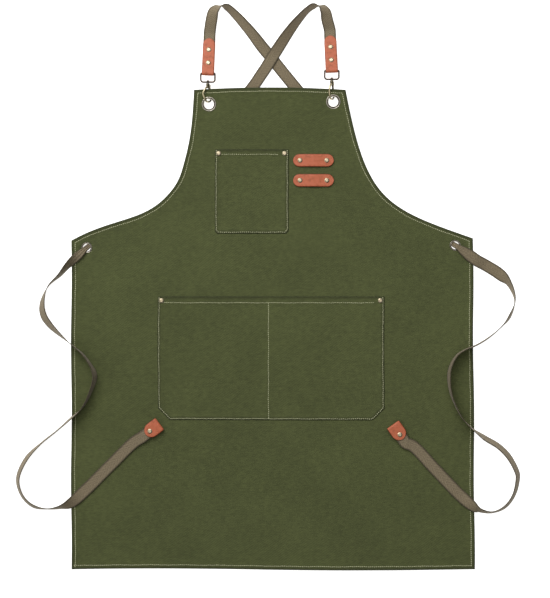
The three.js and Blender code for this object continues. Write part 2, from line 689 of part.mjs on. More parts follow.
/**
 * Where each strap runs once it has left its tab, as rows of [ x, y, base, roll ], and the width
 * where the webbing is bunched. over: across the
 * space above the bib, from the middle of the bib's top; behind: hidden by the panel, as shares of
 * the way from the bib's top to the side eyelet; exit: the direction in which it leaves that eyelet,
 * in degrees from +X; tail: the free end, from the eyelet's middle; tip: the tip's fold, from the
 * eyelet's middle, and how far the tip is turned.
 */
const routes = {
	left: {
		eyelet: 'right',
		faceDown: 180,
		over: [
			[ - 104, 116, 8.5, 6 ], [ - 100.6, 129, 8, 26 ], [ - 93.9, 135.8, 5, 50 ],
			[ - 87, 138.8, 2, 84 ], [ - 77.8, 136.4, 1, 115 ], [ - 64.6, 124.8, table, 126 ],
			[ - 50, 109.1, table, 136 ], [ - 34.5, 91, table, 148 ], [ - 18, 70, table, 170 ],
			[ - 1, 49.8, table, 180 ], [ 18.5, 25.4, table, 180 ], [ 38.6, 0.9, table, 180 ],
		],
		behind: [ [ 0.31, 0.39 ], [ 0.44, 0.65 ], [ 0.6, 0.81 ], [ 0.8, 0.92 ] ],
		exit: - 35,
		tail: [
			[ 14.7, - 10.3, 5.35, 180, 15.5 ], [ 27.9, - 19.5, 5, 180 ], [ 36.5, - 25.6, 4.2, 180 ],
			[ 52.6, - 34, table, 180 ], [ 75.3, - 48.7, table, 166 ], [ 89.5, - 63, table, 112 ],
			[ 100.6, - 93.1, table, 85 ], [ 92, - 120.6, table, 70 ], [ 80.5, - 135.7, table, 80 ],
			[ 54.8, - 157.7, table, 88 ], [ 31.4, - 171, onHem, 90 ], [ 18, - 176, onHem, 90 ],
			[ 2.5, - 186, onCloth, 92 ], [ - 8.8, - 205.7, onCloth, 96 ], [ - 11.7, - 224, onCloth, 98 ],
			[ - 8.8, - 249.4, onCloth, 94 ], [ 0, - 273, onCloth, 90 ], [ 11, - 293, onCloth, 88 ],
			[ 29, - 312, onHem, 84 ], [ 49.1, - 326.7, 1.5, 67 ], [ 73, - 341.1, table, 64 ],
			[ 91.1, - 359.5, table, 61 ], [ 104.7, - 385.8, table, 61 ], [ 105.8, - 393.7, table, 61 ],
			[ 99.3, - 423, table, 64 ], [ 83.9, - 443.8, table, 66 ], [ 62.2, - 452.9, table, 74 ],
			[ 41.3, - 449.4, onHem, 66 ], [ 29, - 442.4, onHem, 30 ], [ 7.6, - 424, onHem, 0 ],
			[ - 35, - 379.6, onHem, 0 ], [ - 71.4, - 341.4, onHem + 0.8, 0 ],
		],
		tip: { x: - 104.6, y: - 306.5, turn: - 145 },
	},
	right: {
		eyelet: 'left',
		faceDown: - 180,
		over: [
			[ 91.6, 115.7, 8.5, - 8 ], [ 89, 128.4, 8, - 28 ], [ 83.8, 135.8, 5, - 48 ],
			[ 76.6, 139, 2, - 84 ], [ 67.6, 137.8, 1, - 110 ], [ 59.4, 132.6, table, - 112 ],
			[ 42.2, 114.4, table, - 126 ], [ 24.6, 91.4, onStrap - 0.5, - 145 ], [ 7.7, 66.3, onStrap - 0.1, - 166 ],
			[ - 2.8, 50.2, onStrap, - 180 ], [ - 11.2, 36.3, onStrap - 0.1, - 180 ],
			[ - 20.3, 22.9, onStrap - 1.1, - 180 ],
			[ - 35.1, 1.4, table, - 180 ],
		],
		behind: [ [ 0.3, 0.39 ], [ 0.4, 0.64 ], [ 0.56, 0.8 ], [ 0.79, 0.91 ] ],
		exit: - 136,
		tail: [
			[ - 12.9, - 12.5, 5.35, - 166, 14 ], [ - 21.8, - 21, onHem + 0.4, - 136, 17 ],
			[ - 31.4, - 31, 3.6, - 114 ], [ - 44.5, - 45.9, table, - 101 ], [ - 65.8, - 67.1, table, - 84 ],
			[ - 75.2, - 97.6, table, - 57 ], [ - 72.6, - 115.3, table, - 50 ],
			[ - 62.6, - 130.4, table, - 54 ], [ - 28.6, - 161.2, onHem, - 83 ],
			[ - 6, - 180.4, onCloth, - 90 ], [ 7.4, - 198.6, onCloth, - 95 ],
			[ 14.9, - 217.3, onCloth, - 104 ], [ 7.4, - 245.4, onCloth, - 98 ],
			[ - 7.4, - 272.6, onCloth, - 90 ], [ - 26.8, - 290.4, onHem, - 80 ],
			[ - 51.7, - 312.1, 1.5, - 84 ], [ - 75.4, - 331, table, - 82 ],
			[ - 102.4, - 359, table, - 67 ], [ - 116.4, - 393.4, table, - 65 ],
			[ - 108.3, - 421.8, table, - 66 ], [ - 90.6, - 438.2, table, - 66 ],
			[ - 65.9, - 443.1, table, - 79 ], [ - 44.7, - 440.5, 1.5, - 68 ],
			[ - 27.5, - 434.2, onHem, - 34 ], [ - 2.4, - 412.4, onHem, 0 ], [ 40.1, - 370, onHem, 0 ],
			[ 80.2, - 330.8, onHem + 0.8, 0 ],
		],
		tip: { x: 122.2, y: - 300.6, turn: 127 },
	},
};

// Through a side eyelet, as [ distance along the exit direction, base, width ].
const threading = [
	[ - 16, 0, 18 ], [ - 8.5, 0, 12 ], [ - 4.5, 0.1, 8.4 ], [ 0, 2.55, 9 ], [ 4.5, 4.85, 9 ], [ 9, 5.35, 11 ],
];

function routeRows( side, tabGroup, tipGroup ) {

	const route = routes[ side ];
	const eyelet = sidePlace[ route.eyelet ];
	const inLeather = ( group, along ) => {

		const { x, y, z } = group.localToWorld( new THREE.Vector3( 0, along, 0 ) );
		return { x, y, roll: 0, level: z };

	};

	const inTab = [ tab.webbingStart, 24, 42, tab.length, tab.length + 10 ].map( ( along ) => inLeather( tabGroup, along ) );
	const over = route.over.map( ( [ x, y, ...rest ] ) => row( x, apron.length + y, ...rest ) );
	const edge = over[ over.length - 1 ];
	const behind = route.behind.map( ( [ u, v ] ) => row(
		THREE.MathUtils.lerp( edge.x, eyelet.x, u ), THREE.MathUtils.lerp( edge.y, eyelet.y, v ), table, route.faceDown ) );
	const heading = degrees( route.exit );
	const through = threading.map( ( [ along, base, width ] ) => row(
		eyelet.x + along * Math.cos( heading ), eyelet.y + along * Math.sin( heading ), base, route.faceDown, width ) );
	const tail = route.tail.map( ( [ x, y, ...rest ] ) => row( eyelet.x + x, eyelet.y + y, ...rest ) );
	const inTip = [ tip.length + 8, tip.length, 17, tip.webbingStart ].map( ( along ) => inLeather( tipGroup, along ) );
	return [ ...inTab, ...over, ...behind, ...through, ...tail, ...inTip ];

}

function addStrap( parent, side, tabGroup ) {

	const { tip: lay, eyelet } = routes[ side ];
	const group = new THREE.Group();
	const rivetRoom = rivet.back + loose;
	group.position.set( sidePlace[ eyelet ].x + lay.x, sidePlace[ eyelet ].y + lay.y, onCloth + rivetRoom + stackHalf );
	group.rotation.z = degrees( lay.turn );
	parent.add( group );
	const foldRadius = webbing.thickness / 2 + clearance;
	piece( group, `strap_tip_${ side }`, foldedLeather( tip.width, tip.length, foldRadius, [ tip.rivet ] ), 'leather' );
	addRivet( group, `tip_rivet_${ side }`, new THREE.Vector2( 0, tip.rivet ), - stackHalf, stackHalf );
	group.updateMatrixWorld( true );
	const rivetHole = ( holder, along ) => post( 0, along, rivet.shank + clearance, - 4, 4, 10 ).applyMatrix4( holder.matrixWorld );
	const holes = [ ...tab.rivets.map( ( along ) => rivetHole( tabGroup, along ) ), rivetHole( group, tip.rivet ) ];
	const webbingPiece = join( [ strapGeometry( routeRows( side, tabGroup, group ) ) ], holes );
	piece( parent, `strap_${ side }`, webbingPiece, 'webbing' );

}

// ---------------------------------------------------------------- assembly

const model = new THREE.Group();
model.name = 'cross_back_apron';
piece( model, 'body_panel', bodyPanel(), 'canvas' );
piece( model, 'chest_pocket', patchPocket( chestPocket ), 'pocketCanvas' );
piece( model, 'lap_pocket', patchPocket( lapPocket ), 'pocketCanvas' );
for ( const [ name, top ] of [ [ 'upper', toolLoop.tops[ 0 ] ], [ 'lower', toolLoop.tops[ 1 ] ] ] ) {

	piece( model, `tool_loop_${ name }`, toolLoopGeometry( top ), 'leather' );
	loopRivets( top ).forEach( ( place, i ) => addRivet( model, `loop_rivet_${ name }_${ sides[ i ] }`, place,
		apron.underside, clothTop + clearance + leather.thickness ) );

}

for ( const [ name, pocket ] of [ [ 'chest', chestPocket ], [ 'lap', lapPocket ] ] ) {

	pocketRivets( pocket ).forEach( ( place, i ) => addRivet( model, `${ name }_rivet_${ sides[ i ] }`, place,
		apron.underside, clothTop + clearance + apron.canvas + pocketRise ) );

}

for ( const side of sides ) {

	const bib = new THREE.Group();
	bib.position.set( bibPlace[ side ].x, bibPlace[ side ].y, apron.underside + lift( bibPlace[ side ].y ) );
	bib.rotation.x = liftAngle;
	addEyelet( bib, `bib_eyelet_${ side }`, eyelets.bib, 0, apron.canvas );
	const flank = new THREE.Group();
	flank.position.set( sidePlace[ side ].x, sidePlace[ side ].y, apron.underside );
	addEyelet( flank, `side_eyelet_${ side }`, eyelets.side, 0, apron.canvas );
	model.add( bib, flank );
	const tabGroup = addTab( model, side, addSnapHook( model, side ) );
	addStrap( model, side, tabGroup );

}

// The origin goes under the middle of the whole.
const extent = new THREE.Box3().setFromObject( model, true );
const middle = extent.getCenter( new THREE.Vector3() );
for ( const child of model.children ) {

	child.position.sub( new THREE.Vector3( middle.x, middle.y, extent.min.z ) );

}

export default model;
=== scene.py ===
"""A cross-back canvas work apron, laid face up: its cloth, webbing, leather, stitching and hardware."""
import json
import math

import bpy
import numpy as np
from bpy.props import FloatProperty, FloatVectorProperty, IntProperty, PointerProperty
from mathutils import Matrix, Vector
from mathutils.geometry import delaunay_2d_cdt


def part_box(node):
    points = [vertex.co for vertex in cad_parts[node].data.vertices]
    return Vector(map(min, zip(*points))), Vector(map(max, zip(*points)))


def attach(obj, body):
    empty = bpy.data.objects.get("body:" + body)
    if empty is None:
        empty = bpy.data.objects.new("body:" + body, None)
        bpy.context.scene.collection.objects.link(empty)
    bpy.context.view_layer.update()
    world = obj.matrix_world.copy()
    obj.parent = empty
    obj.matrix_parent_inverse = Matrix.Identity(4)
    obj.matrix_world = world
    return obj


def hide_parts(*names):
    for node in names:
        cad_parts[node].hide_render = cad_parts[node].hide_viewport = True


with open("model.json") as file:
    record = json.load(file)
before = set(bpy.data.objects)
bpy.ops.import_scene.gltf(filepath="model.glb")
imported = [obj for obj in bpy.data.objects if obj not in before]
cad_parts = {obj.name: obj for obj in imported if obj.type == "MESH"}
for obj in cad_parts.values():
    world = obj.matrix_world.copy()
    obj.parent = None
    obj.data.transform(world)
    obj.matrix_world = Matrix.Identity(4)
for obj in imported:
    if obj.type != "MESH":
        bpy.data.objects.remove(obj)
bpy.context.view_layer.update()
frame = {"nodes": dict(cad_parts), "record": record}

bl_info = {
    "name": "Cross-back apron",
    "version": (1, 0, 0),
    "blender": (4, 5, 0),
    "location": "3D View > Sidebar > Apron",
    "description": "Models a cross-back canvas apron round its frame",
    "category": "Add Mesh",
}

MM = 0.001
SIDES = ("left", "right")
APRON = "apron"
JOINTS = {joint["name"]: joint for joint in frame["record"]["behaviour"]["joints"]}


def middle_of(node):
    low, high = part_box(node)
    return (Vector(low) + Vector(high)) / 2


def hem_middle():
    """The point on the surface under the middle of the bottom hem, which the pattern is drawn from."""
    low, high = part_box("body_panel")
    return Vector(((low[0] + high[0]) / 2, low[1], 0))


HEM = hem_middle()
PANEL_LOW, PANEL_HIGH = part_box("body_panel")


# ---------------------------------------------------------------- settings

def linear(text):
    """The linear colour of an sRGB hex value."""
    parts = (int(text[i:i + 2], 16) / 255 for i in (1, 3, 5))
    return tuple(c / 12.92 if c <= 0.04045 else ((c + 0.055) / 1.055) ** 2.4 for c in parts)


def colour(name, description, text):
    return FloatVectorProperty(name=name, description=description, default=linear(text),
                               subtype="COLOR", min=0, max=1)


def length(name, description, default):
    return FloatProperty(name=name, description=description, default=default, unit="LENGTH", min=0)


class ClothSettings(bpy.types.PropertyGroup):
    canvas: colour("Canvas", "Waxed cotton canvas of the body and pockets", "#4e5430")
    thread: colour("Topstitch", "Thread of the topstitching", "#c2c39c")
    thickness: length("Canvas thickness", "One layer of the canvas", 0.0009)
    hem: length("Hem", "Width of the folded hem", 0.008)
    hem_rise: length("Hem rise", "How far the fold stands proud of the cloth", 0.0006)
    stitch_inset: length("Stitch inset", "Topstitching's distance from the edge", 0.0065)
    stitch_pitch: length("Stitch pitch", "From one stitch to the next", 0.0034)
    thread_width: length("Thread", "Width of the topstitching thread", 0.0014)
    spacing: length("Mesh spacing", "Distance between the cloth's points", 0.006)


class StrapSettings(bpy.types.PropertyGroup):
    webbing: colour("Webbing", "Cotton webbing of the straps", "#7e725c")
    width: length("Webbing width", "Stock width of the webbing", 0.020)
    thickness: length("Webbing thickness", "Thickness of the webbing", 0.0013)
    stations: IntProperty(name="Stations", description="Sections between two points of the route",
                          default=8, min=2)


class LeatherSettings(bpy.types.PropertyGroup):
    leather: colour("Leather", "Vegetable-tanned leather of the tabs and loops", "#bb6442")
    edge: colour("Leather edge", "Cut and dyed edge of the leather", "#7c3620")
    thickness: length("Leather thickness", "One layer of the leather", 0.0018)


class HardwareSettings(bpy.types.PropertyGroup):
    rivet: colour("Rivets", "Pale brass-plated rivets", "#e3d3b2")
    eyelet: colour("Eyelets", "Nickel-plated eyelets", "#c9c2b4")
    loop: colour("Snap hooks' loops", "Gunmetal plating of the loops and swivels", "#5f564c")
    # painted highlight: the hooks' plating is pale to stand for the light along their front wires
    hook: colour("Snap hooks", "Rubbed, brassy plating of the hooks", "#d8cba6")
    rivet_head: length("Rivet head", "Radius of a rivet's cap", 0.0040)


class StageSettings(bpy.types.PropertyGroup):
    floor: colour("Floor", "Plain pale surface", "#f7f7f5")
    frame_height: length("Frame height", "Height of the camera's field on the surface", 1.0166)
    lens: FloatProperty(name="Lens", description="Focal length in millimetres", default=85, min=20)


# ---------------------------------------------------------------- materials

FLOOR_GLOW = 0.85

def add_node(material, kind, inputs=None, **settings):
    """Adds a node with its settings; an input given as a socket is linked, any other value is set."""
    made = material.node_tree.nodes.new(kind)
    for name, value in settings.items():
        setattr(made, name, value)
    for name, value in (inputs or {}).items():
        if isinstance(value, bpy.types.NodeSocket):
            material.node_tree.links.new(value, made.inputs[name])
        else:
            made.inputs[name].default_value = value
    return made


def new_material(name, **values):
    """A material with an empty Principled shader, whose plain values are set on its own sockets."""
    material = bpy.data.materials.new(name)
    material.use_nodes = True
    shader = material.node_tree.nodes["Principled BSDF"]
    for key, value in values.items():
        shader.inputs[key.replace("_", " ")].default_value = value
    return material, shader


def plug(material, socket, target):
    material.node_tree.links.new(socket, target)


def ramp(material, factor, stops):
    """A colour ramp with stops given as (place, colour)."""
    made = add_node(material, "ShaderNodeValToRGB", {"Fac": factor})
    elements = made.color_ramp.elements
    while len(elements) < len(stops):
        elements.new(0.5)
    for element, (place, shade) in zip(elements, stops):
        element.position = place
        element.color = (*shade, 1)
    return made.outputs["Color"]


def tint(shade, factor):
    return tuple(min(1.0, c * factor) for c in shade)


def band_scale(period):
    """The Wave texture's scale for bands that repeat after a distance in metres."""
    return 2 * math.pi / 20 / period


def object_place(material):
    """Places in metres, which every texture but the webbing's is laid out from."""
    return add_node(material, "ShaderNodeTexCoord").outputs["Object"]


def point_value(material, name):
    return add_node(material, "ShaderNodeAttribute", attribute_name=name).outputs["Fac"]


def noise(material, vector, scale, detail, **more):
    inputs = {"Vector": vector, "Scale": scale, "Detail": detail, **more}
    return add_node(material, "ShaderNodeTexNoise", inputs).outputs["Fac"]


def calculate(material, operation, *values):
    return add_node(material, "ShaderNodeMath", dict(enumerate(values)), operation=operation).outputs[0]


def map_range(material, value, **ends):
    """A value taken from one range to another; ends are any of From_Min, From_Max, To_Min and To_Max."""
    inputs = {name.replace("_", " "): end for name, end in ends.items()}
    return add_node(material, "ShaderNodeMapRange", {"Value": value, **inputs}).outputs[0]


def paint(material, shader, shade, factor):
    """Gives the shader a colour times a factor."""
    scaled = add_node(material, "ShaderNodeVectorMath", {0: shade, "Scale": factor}, operation="SCALE")
    plug(material, scaled.outputs["Vector"], shader.inputs["Base Color"])


def emboss(material, shader, height, strength, distance):
    bump = add_node(material, "ShaderNodeBump",
                    {"Strength": strength, "Distance": distance, "Height": height})
    plug(material, bump.outputs["Normal"], shader.inputs["Normal"])


def waxed_twill_canvas(settings):
    """Waxed cotton twill: matt, with a fine diagonal rib and the mottle of an uneven wax."""
    shade = tuple(settings.canvas)
    material, shader = new_material("waxed_twill_canvas", Roughness=0.88, Sheen_Weight=0.08,
                                    Sheen_Roughness=0.6, Specular_IOR_Level=0.25)
    place = object_place(material)
    # the mottle: clouds a hand wide, blotches of 7 mm, and flecks of 1.8 mm by 8 mm that are drawn out
    # along the threads, which lie nearly along X
    cloud = noise(material, place, 9.0, 3.0)
    blotch = noise(material, place, 140.0, 2.0)
    along = add_node(material, "ShaderNodeMapping", {"Vector": place, "Scale": (0.22, 1.0, 1.0)})
    fleck = noise(material, along.outputs["Vector"], 560.0, 3.0, Roughness=0.65)
    total = calculate(material, "MULTIPLY_ADD", fleck, 2.0, calculate(material, "ADD", cloud, blotch))
    mean = calculate(material, "MULTIPLY", total, 1 / 4)
    cloth = ramp(material, mean, [(0.38, tint(shade, 0.80)), (0.5, shade), (0.62, tint(shade, 1.22))])
    # painted shade: the fold of a hem and of a pocket's edge is darker in its last millimetres
    painted_light = map_range(material, point_value(material, "rim"),
                       From_Min=0.0, From_Max=0.0068, To_Min=0.45, To_Max=1.0)
    paint(material, shader, cloth, painted_light)
    # the twill's rib, drawn at 2.6 mm where the real one is about 1 mm
    turned = add_node(material, "ShaderNodeMapping",
                      {"Vector": place, "Rotation": (0, 0, math.radians(28))})
    rib = add_node(material, "ShaderNodeTexWave",
                   {"Vector": turned.outputs["Vector"], "Scale": band_scale(0.0026), "Distortion": 1.5,
                    "Detail": 1.0, "Detail Scale": 2.0}, wave_type="BANDS", bands_direction="Y")
    emboss(material, shader, calculate(material, "ADD", rib.outputs["Fac"], fleck), 0.35, 0.0005)
    return material


def herringbone_webbing(settings):
    """Woven cotton webbing: ribs that meet in a chevron along its middle, and a colour that darkens towards
    both edges.
    """
    shade = tuple(settings.webbing)
    material, shader = new_material("herringbone_cotton_webbing", Roughness=0.85, Sheen_Weight=0.1,
                                    Specular_IOR_Level=0.25)
    chart = add_node(material, "ShaderNodeUVMap", uv_map="along_across").outputs["UV"]
    parts = add_node(material, "ShaderNodeSeparateXYZ", {"Vector": chart})
    away = calculate(material, "ABSOLUTE", parts.outputs["Y"])
    slant = calculate(material, "MULTIPLY_ADD", away, 0.75, parts.outputs["X"])
    # ribs of 3.4 mm, drawn coarser than the real ones
    rib = calculate(material, "SINE", calculate(material, "MULTIPLY", slant, 2 * math.pi / 0.0034))
    mixed = calculate(material, "MULTIPLY_ADD", rib, 0.16, noise(material, chart, 520.0, 2.0))
    cloth = ramp(material, mixed, [(0.25, tint(shade, 0.72)), (0.5, shade), (0.75, tint(shade, 1.25))])
    # darker towards both edges
    edge_darkening = map_range(material, away, From_Min=0.0068, From_Max=0.0092, To_Min=1.0, To_Max=0.38)
    paint(material, shader, cloth, edge_darkening)
    emboss(material, shader, mixed, 0.5, 0.0005)
    return material


def vegetable_tanned_leather(settings):
    """Tan leather: a soft sheen over fine pores, a little uneven, with its cut edge dyed darker."""
    shade, edge_shade = tuple(settings.leather), tuple(settings.edge)
    material, shader = new_material("vegetable_tanned_leather", Roughness=0.5, Specular_IOR_Level=0.4)
    place = object_place(material)
    pinker = (shade[0] * 1.04, shade[1] * 1.06, shade[2] * 1.2)
    face = ramp(material, noise(material, place, 150.0, 4.0),
                [(0.34, tint(shade, 0.78)), (0.48, shade), (0.64, pinker)])
    inner = map_range(material, point_value(material, "rim"), From_Min=0.0003, From_Max=0.0013)
    mixed = add_node(material, "ShaderNodeMix", {0: inner, 6: (*edge_shade, 1), 7: face}, data_type="RGBA")
    plug(material, mixed.outputs[2], shader.inputs["Base Color"])
    # pores and hair cells of 0.6 mm
    pores = add_node(material, "ShaderNodeTexVoronoi", {"Vector": place, "Scale": 1600.0})
    emboss(material, shader, pores.outputs["Distance"], 0.25, 0.0002)
    return material


def plated_metal(name, shade, roughness, grime):
    """Plated small hardware: a bright skin with faint tarnish in blotches of 2 mm."""
    material, shader = new_material(name, Metallic=1.0)
    tarnish = noise(material, object_place(material), 500.0, 3.0)
    skin = ramp(material, tarnish, [(0.35, tint(shade, grime)), (0.6, shade)])
    # painted shade, with some dirt: the skin is darkened where the point attribute "groove" is more than 0
    shade_and_dirt_factor = map_range(material, point_value(material, "groove"), To_Min=1.0, To_Max=0.12)
    paint(material, shader, skin, shade_and_dirt_factor)
    dull = map_range(material, tarnish, To_Min=roughness + 0.1, To_Max=roughness - 0.05)
    plug(material, dull, shader.inputs["Roughness"])
    return material


def spun_polyester_thread(settings):
    """Topstitching thread: two plies with a soft sheen."""
    material, shader = new_material("spun_polyester_thread", Roughness=0.6, Sheen_Weight=0.2)
    shade = tuple(settings.thread)
    ply = ramp(material, noise(material, object_place(material), 700.0, 1.0),
               [(0.3, tint(shade, 0.75)), (0.7, tint(shade, 1.1))])
    plug(material, ply, shader.inputs["Base Color"])
    return material


def painted_floor(settings):
    """A matt painted surface, plain and pale."""
    material, shader = new_material("matt_painted_floor", Roughness=0.9, Specular_IOR_Level=0.1)
    shade = tuple(settings.floor)
    grain = ramp(material, noise(material, object_place(material), 3.0, 2.0),
                 [(0.3, tint(shade, 0.995)), (0.7, shade)])
    plug(material, grain, shader.inputs["Base Color"])
    # lit from below like a light table, which keeps the shadows faint
    shader.inputs["Emission Color"].default_value = (1, 1, 1, 1)
    shader.inputs["Emission Strength"].default_value = FLOOR_GLOW
    return material


# Each soft finish's maker and its settings; each plating's colour, its roughness and its tarnish's shade.
FINISHES = {
    "waxed_twill_canvas": (waxed_twill_canvas, "apron_cloth"),
    "spun_polyester_thread": (spun_polyester_thread, "apron_cloth"),
    "herringbone_cotton_webbing": (herringbone_webbing, "apron_strap"),
    "vegetable_tanned_leather": (vegetable_tanned_leather, "apron_leather"),
}
PLATINGS = {
    "brass_plated_rivet": ("rivet", 0.3, 0.8),
    "nickel_plated_eyelet": ("eyelet", 0.22, 0.85),
    "gunmetal_plated_steel": ("loop", 0.28, 0.7),
    # the hooks' plating, pale as a painted highlight
    "rubbed_plated_steel": ("hook", 0.25, 0.7),
}


def finish_named(context, name):
    """The material of that name, made the first time it is asked for."""
    made = bpy.data.materials.get(name)
    if made:
        return made
    if name in PLATINGS:
        setting, roughness, grime = PLATINGS[name]
        return plated_metal(name, tuple(getattr(context.scene.apron_hardware, setting)), roughness, grime)
    maker, group = FINISHES[name]
    return maker(getattr(context.scene, group))


# ---------------------------------------------------------------- making pieces

def deselect_all():
    bpy.ops.object.select_all(action="DESELECT")


def select_only(*pieces):
    """Selects these pieces alone, the first one active."""
    deselect_all()
    for piece in pieces:
        piece.select_set(True)
    bpy.context.view_layer.objects.active = pieces[0]


def put_in_scene(name, data):
    made = bpy.data.objects.new(name, data)
    bpy.context.scene.collection.objects.link(made)
    return made


def dress(data, material):
    data.materials.clear()
    data.materials.append(material)


def add_piece(name, points, faces, material, body, charts=None, rims=None):
    """A smooth-shaded mesh piece that rides on a body. charts are UV pairs and rims edge distances,
    one for each point."""
    mesh = bpy.data.meshes.new(name)
    mesh.from_pydata([tuple(point) for point in points], [], faces)
    mesh.materials.append(material)
    mesh.shade_smooth()
    if charts is not None:
        layer = mesh.uv_layers.new(name="along_across")
        for loop in mesh.loops:
            layer.data[loop.index].uv = charts[loop.vertex_index]
    if rims is not None:
        rim = mesh.attributes.new("rim", "FLOAT", "POINT")
        rim.data.foreach_set("value", np.asarray(rims, dtype=np.float32))
    mesh.update()
    piece = put_in_scene(name, mesh)
    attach(piece, body)
    return piece


def ride_and_dress(piece, material, body, slot, *nodes):
    dress(piece.data, material)
    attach(piece, body)
    if nodes:
        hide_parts(*nodes)
    return piece


def settle(piece, matrix=None):
    """Puts a matrix, or else the object's own place, into its mesh, so that it sits at the origin."""
    piece.data.transform(piece.matrix_world if matrix is None else matrix)
    piece.matrix_world = Matrix()
    piece.data.update()


def smooth_step(value, low, high):
    t = np.clip((value - low) / (high - low), 0, 1)
    return t * t * (3 - 2 * t)


# ---------------------------------------------------------------- the cloth's shape

LIFT_START = 0.094  # below the bib's top, where the bib starts to rise over the hooks
LIFT_HEIGHT = 0.0105
LIFT_SLOPE = LIFT_HEIGHT / LIFT_START
APRON_LENGTH = PANEL_HIGH[1] - PANEL_LOW[1]
HALF_WIDTH = (PANEL_HIGH[0] - PANEL_LOW[0]) / 2
UNDERSIDE = 0.0026  # height of the cloth's underside over the straps and the folded hem
CROWN = 0.004  # rise of the bib's top edge between its corners
TAUT = (0.11, 0.06)  # below the bib's top, between which the cloth is drawn from slack to taut


def cloth_height(x, y):
    """Height of the cloth's face at a place measured from the middle of the bottom hem."""
    thickness = bpy.context.scene.apron_cloth.thickness
    over = y - (APRON_LENGTH - LIFT_START)
    lift = LIFT_SLOPE * (over + np.sqrt(over * over + 0.012 ** 2)) / 2
    # slow swells in the cloth, never above the height that the straps and pockets lie on
    swell = (np.sin(x * 31 + 1.3 * np.sin(y * 17)) * np.sin(y * 23 + 0.9)
             + 0.7 * np.sin(x * 57 - y * 41 + 2.1) + 0.5 * np.sin(x * 19 + y * 83))
    # the bib is drawn taut over the hooks
    slack = 1 - smooth_step(y, APRON_LENGTH - TAUT[0], APRON_LENGTH - TAUT[1])
    return UNDERSIDE + thickness + lift + 0.00022 * (swell - 1.6) * slack


def warp(points):
    """The edges' slight wander from the drawn pattern."""
    points = np.asarray(points, dtype=float)
    x, y = points[:, 0], points[:, 1]
    moved = points.copy()
    moved[:, 0] += 0.0007 * np.sin(y * 27 + 0.6) * np.abs(x) / HALF_WIDTH
    # the left armhole's edge is stretched out at its top and drawn in at its bend
    from_top = APRON_LENGTH - y
    moved[:, 0] += smooth_step(-x, 0.119, 0.130) * (
        0.0026 * np.exp(-((from_top - 0.158) / 0.026) ** 2) - 0.0018 * np.exp(-(from_top / 0.06) ** 2))
    moved[:, 1] += (0.0007 - 0.0017 * np.sin(9.2 * (x + 0.03))) * (1 - y / APRON_LENGTH) ** 4
    return moved


def cubic(a, b, c, d, count):
    t = np.linspace(0, 1, count, endpoint=False)[:, None]
    a, b, c, d = (np.asarray(p, dtype=float) for p in (a, b, c, d))
    return (1 - t) ** 3 * a + 3 * (1 - t) ** 2 * t * b + 3 * (1 - t) * t * t * c + t ** 3 * d


def straight(a, b, spacing=0.005):
    a, b = np.asarray(a, dtype=float), np.asarray(b, dtype=float)
    count = max(2, round(np.linalg.norm(b - a) / spacing))
    return a + (b - a) * np.linspace(0, 1, count, endpoint=False)[:, None]


def panel_outline():
    """The apron's edge, anticlockwise from the left bottom corner. Each armhole is one cubic."""
    top = APRON_LENGTH - CROWN
    left_foot = (-HALF_WIDTH, APRON_LENGTH - 0.259)
    right_foot = (HALF_WIDTH - 0.003, APRON_LENGTH - 0.255)
    left_bib, right_bib = (-0.1318, top), (0.1232, top)
    peak = ((left_bib[0] + right_bib[0]) / 2, top + 2 * CROWN)
    rise = np.linspace(0, 1, 50, endpoint=False)[:, None]
    crest = ((1 - rise) ** 2 * np.asarray(right_bib) + 2 * (1 - rise) * rise * np.asarray(peak)
             + rise ** 2 * np.asarray(left_bib))
    return np.vstack([
        straight((-HALF_WIDTH, 0), (HALF_WIDTH, 0)),
        straight((HALF_WIDTH, 0), right_foot),
        cubic(right_foot, (right_foot[0] - 0.150, right_foot[1] + 0.0525),
              (right_bib[0] + 0.0355, right_bib[1] - 0.187), right_bib, 80),
        crest,
        cubic(left_bib, (left_bib[0] - 0.019, left_bib[1] - 0.251),
              (left_foot[0] + 0.112, left_foot[1] + 0.064), left_foot, 80),
        straight(left_foot, (-HALF_WIDTH, 0)),
    ])


def inset(outline, distance):
    """The outline moved inwards, with its corners mitred."""
    before = outline - np.roll(outline, 1, axis=0)
    after = np.roll(outline, -1, axis=0) - outline
    before /= np.linalg.norm(before, axis=1)[:, None]
    after /= np.linalg.norm(after, axis=1)[:, None]
    inward = np.column_stack([-before[:, 1] - after[:, 1], before[:, 0] + after[:, 0]])
    inward /= np.linalg.norm(inward, axis=1)[:, None]
    shorten = inward[:, 0] * -after[:, 1] + inward[:, 1] * after[:, 0]
    return outline + inward * (distance / shorten)[:, None]


def edge_distance(places, outline):
    """Each place's distance from the closed outline."""
    result = np.full(len(places), np.inf)
    for a, b in zip(outline, np.roll(outline, -1, axis=0)):
        along = b - a
        t = np.clip(((places - a) @ along) / (along @ along), 0, 1)
        result = np.minimum(result, np.linalg.norm(places - a - t[:, None] * along, axis=1))
    return result


def inside(places, outline):
    """Which places lie inside the outline."""
    x, y = places[:, 0], places[:, 1]
    result = np.zeros(len(places), dtype=bool)
    for (ax, ay), (bx, by) in zip(outline, np.roll(outline, -1, axis=0)):
        if ay == by:
            continue
        crosses = (ay > y) != (by > y)
        result ^= crosses & (x < (bx - ax) * (y - ay) / (by - ay) + ax)
    return result


def polygon_area(outline):
    x, y = outline[:, 0], outline[:, 1]
    return abs(np.dot(x, np.roll(y, -1)) - np.dot(y, np.roll(x, -1))) / 2


EDGE_RINGS = (0.0, 0.0004, 0.0011, 0.0022, 0.0040, 0.0055, 0.0065, 0.0075, 0.0090, 0.0110)
HOLE_POINTS = 28
PANEL_HOLES = {"bib": 0.0086, "side": 0.0069}  # radii of the holes cut for the eyelets


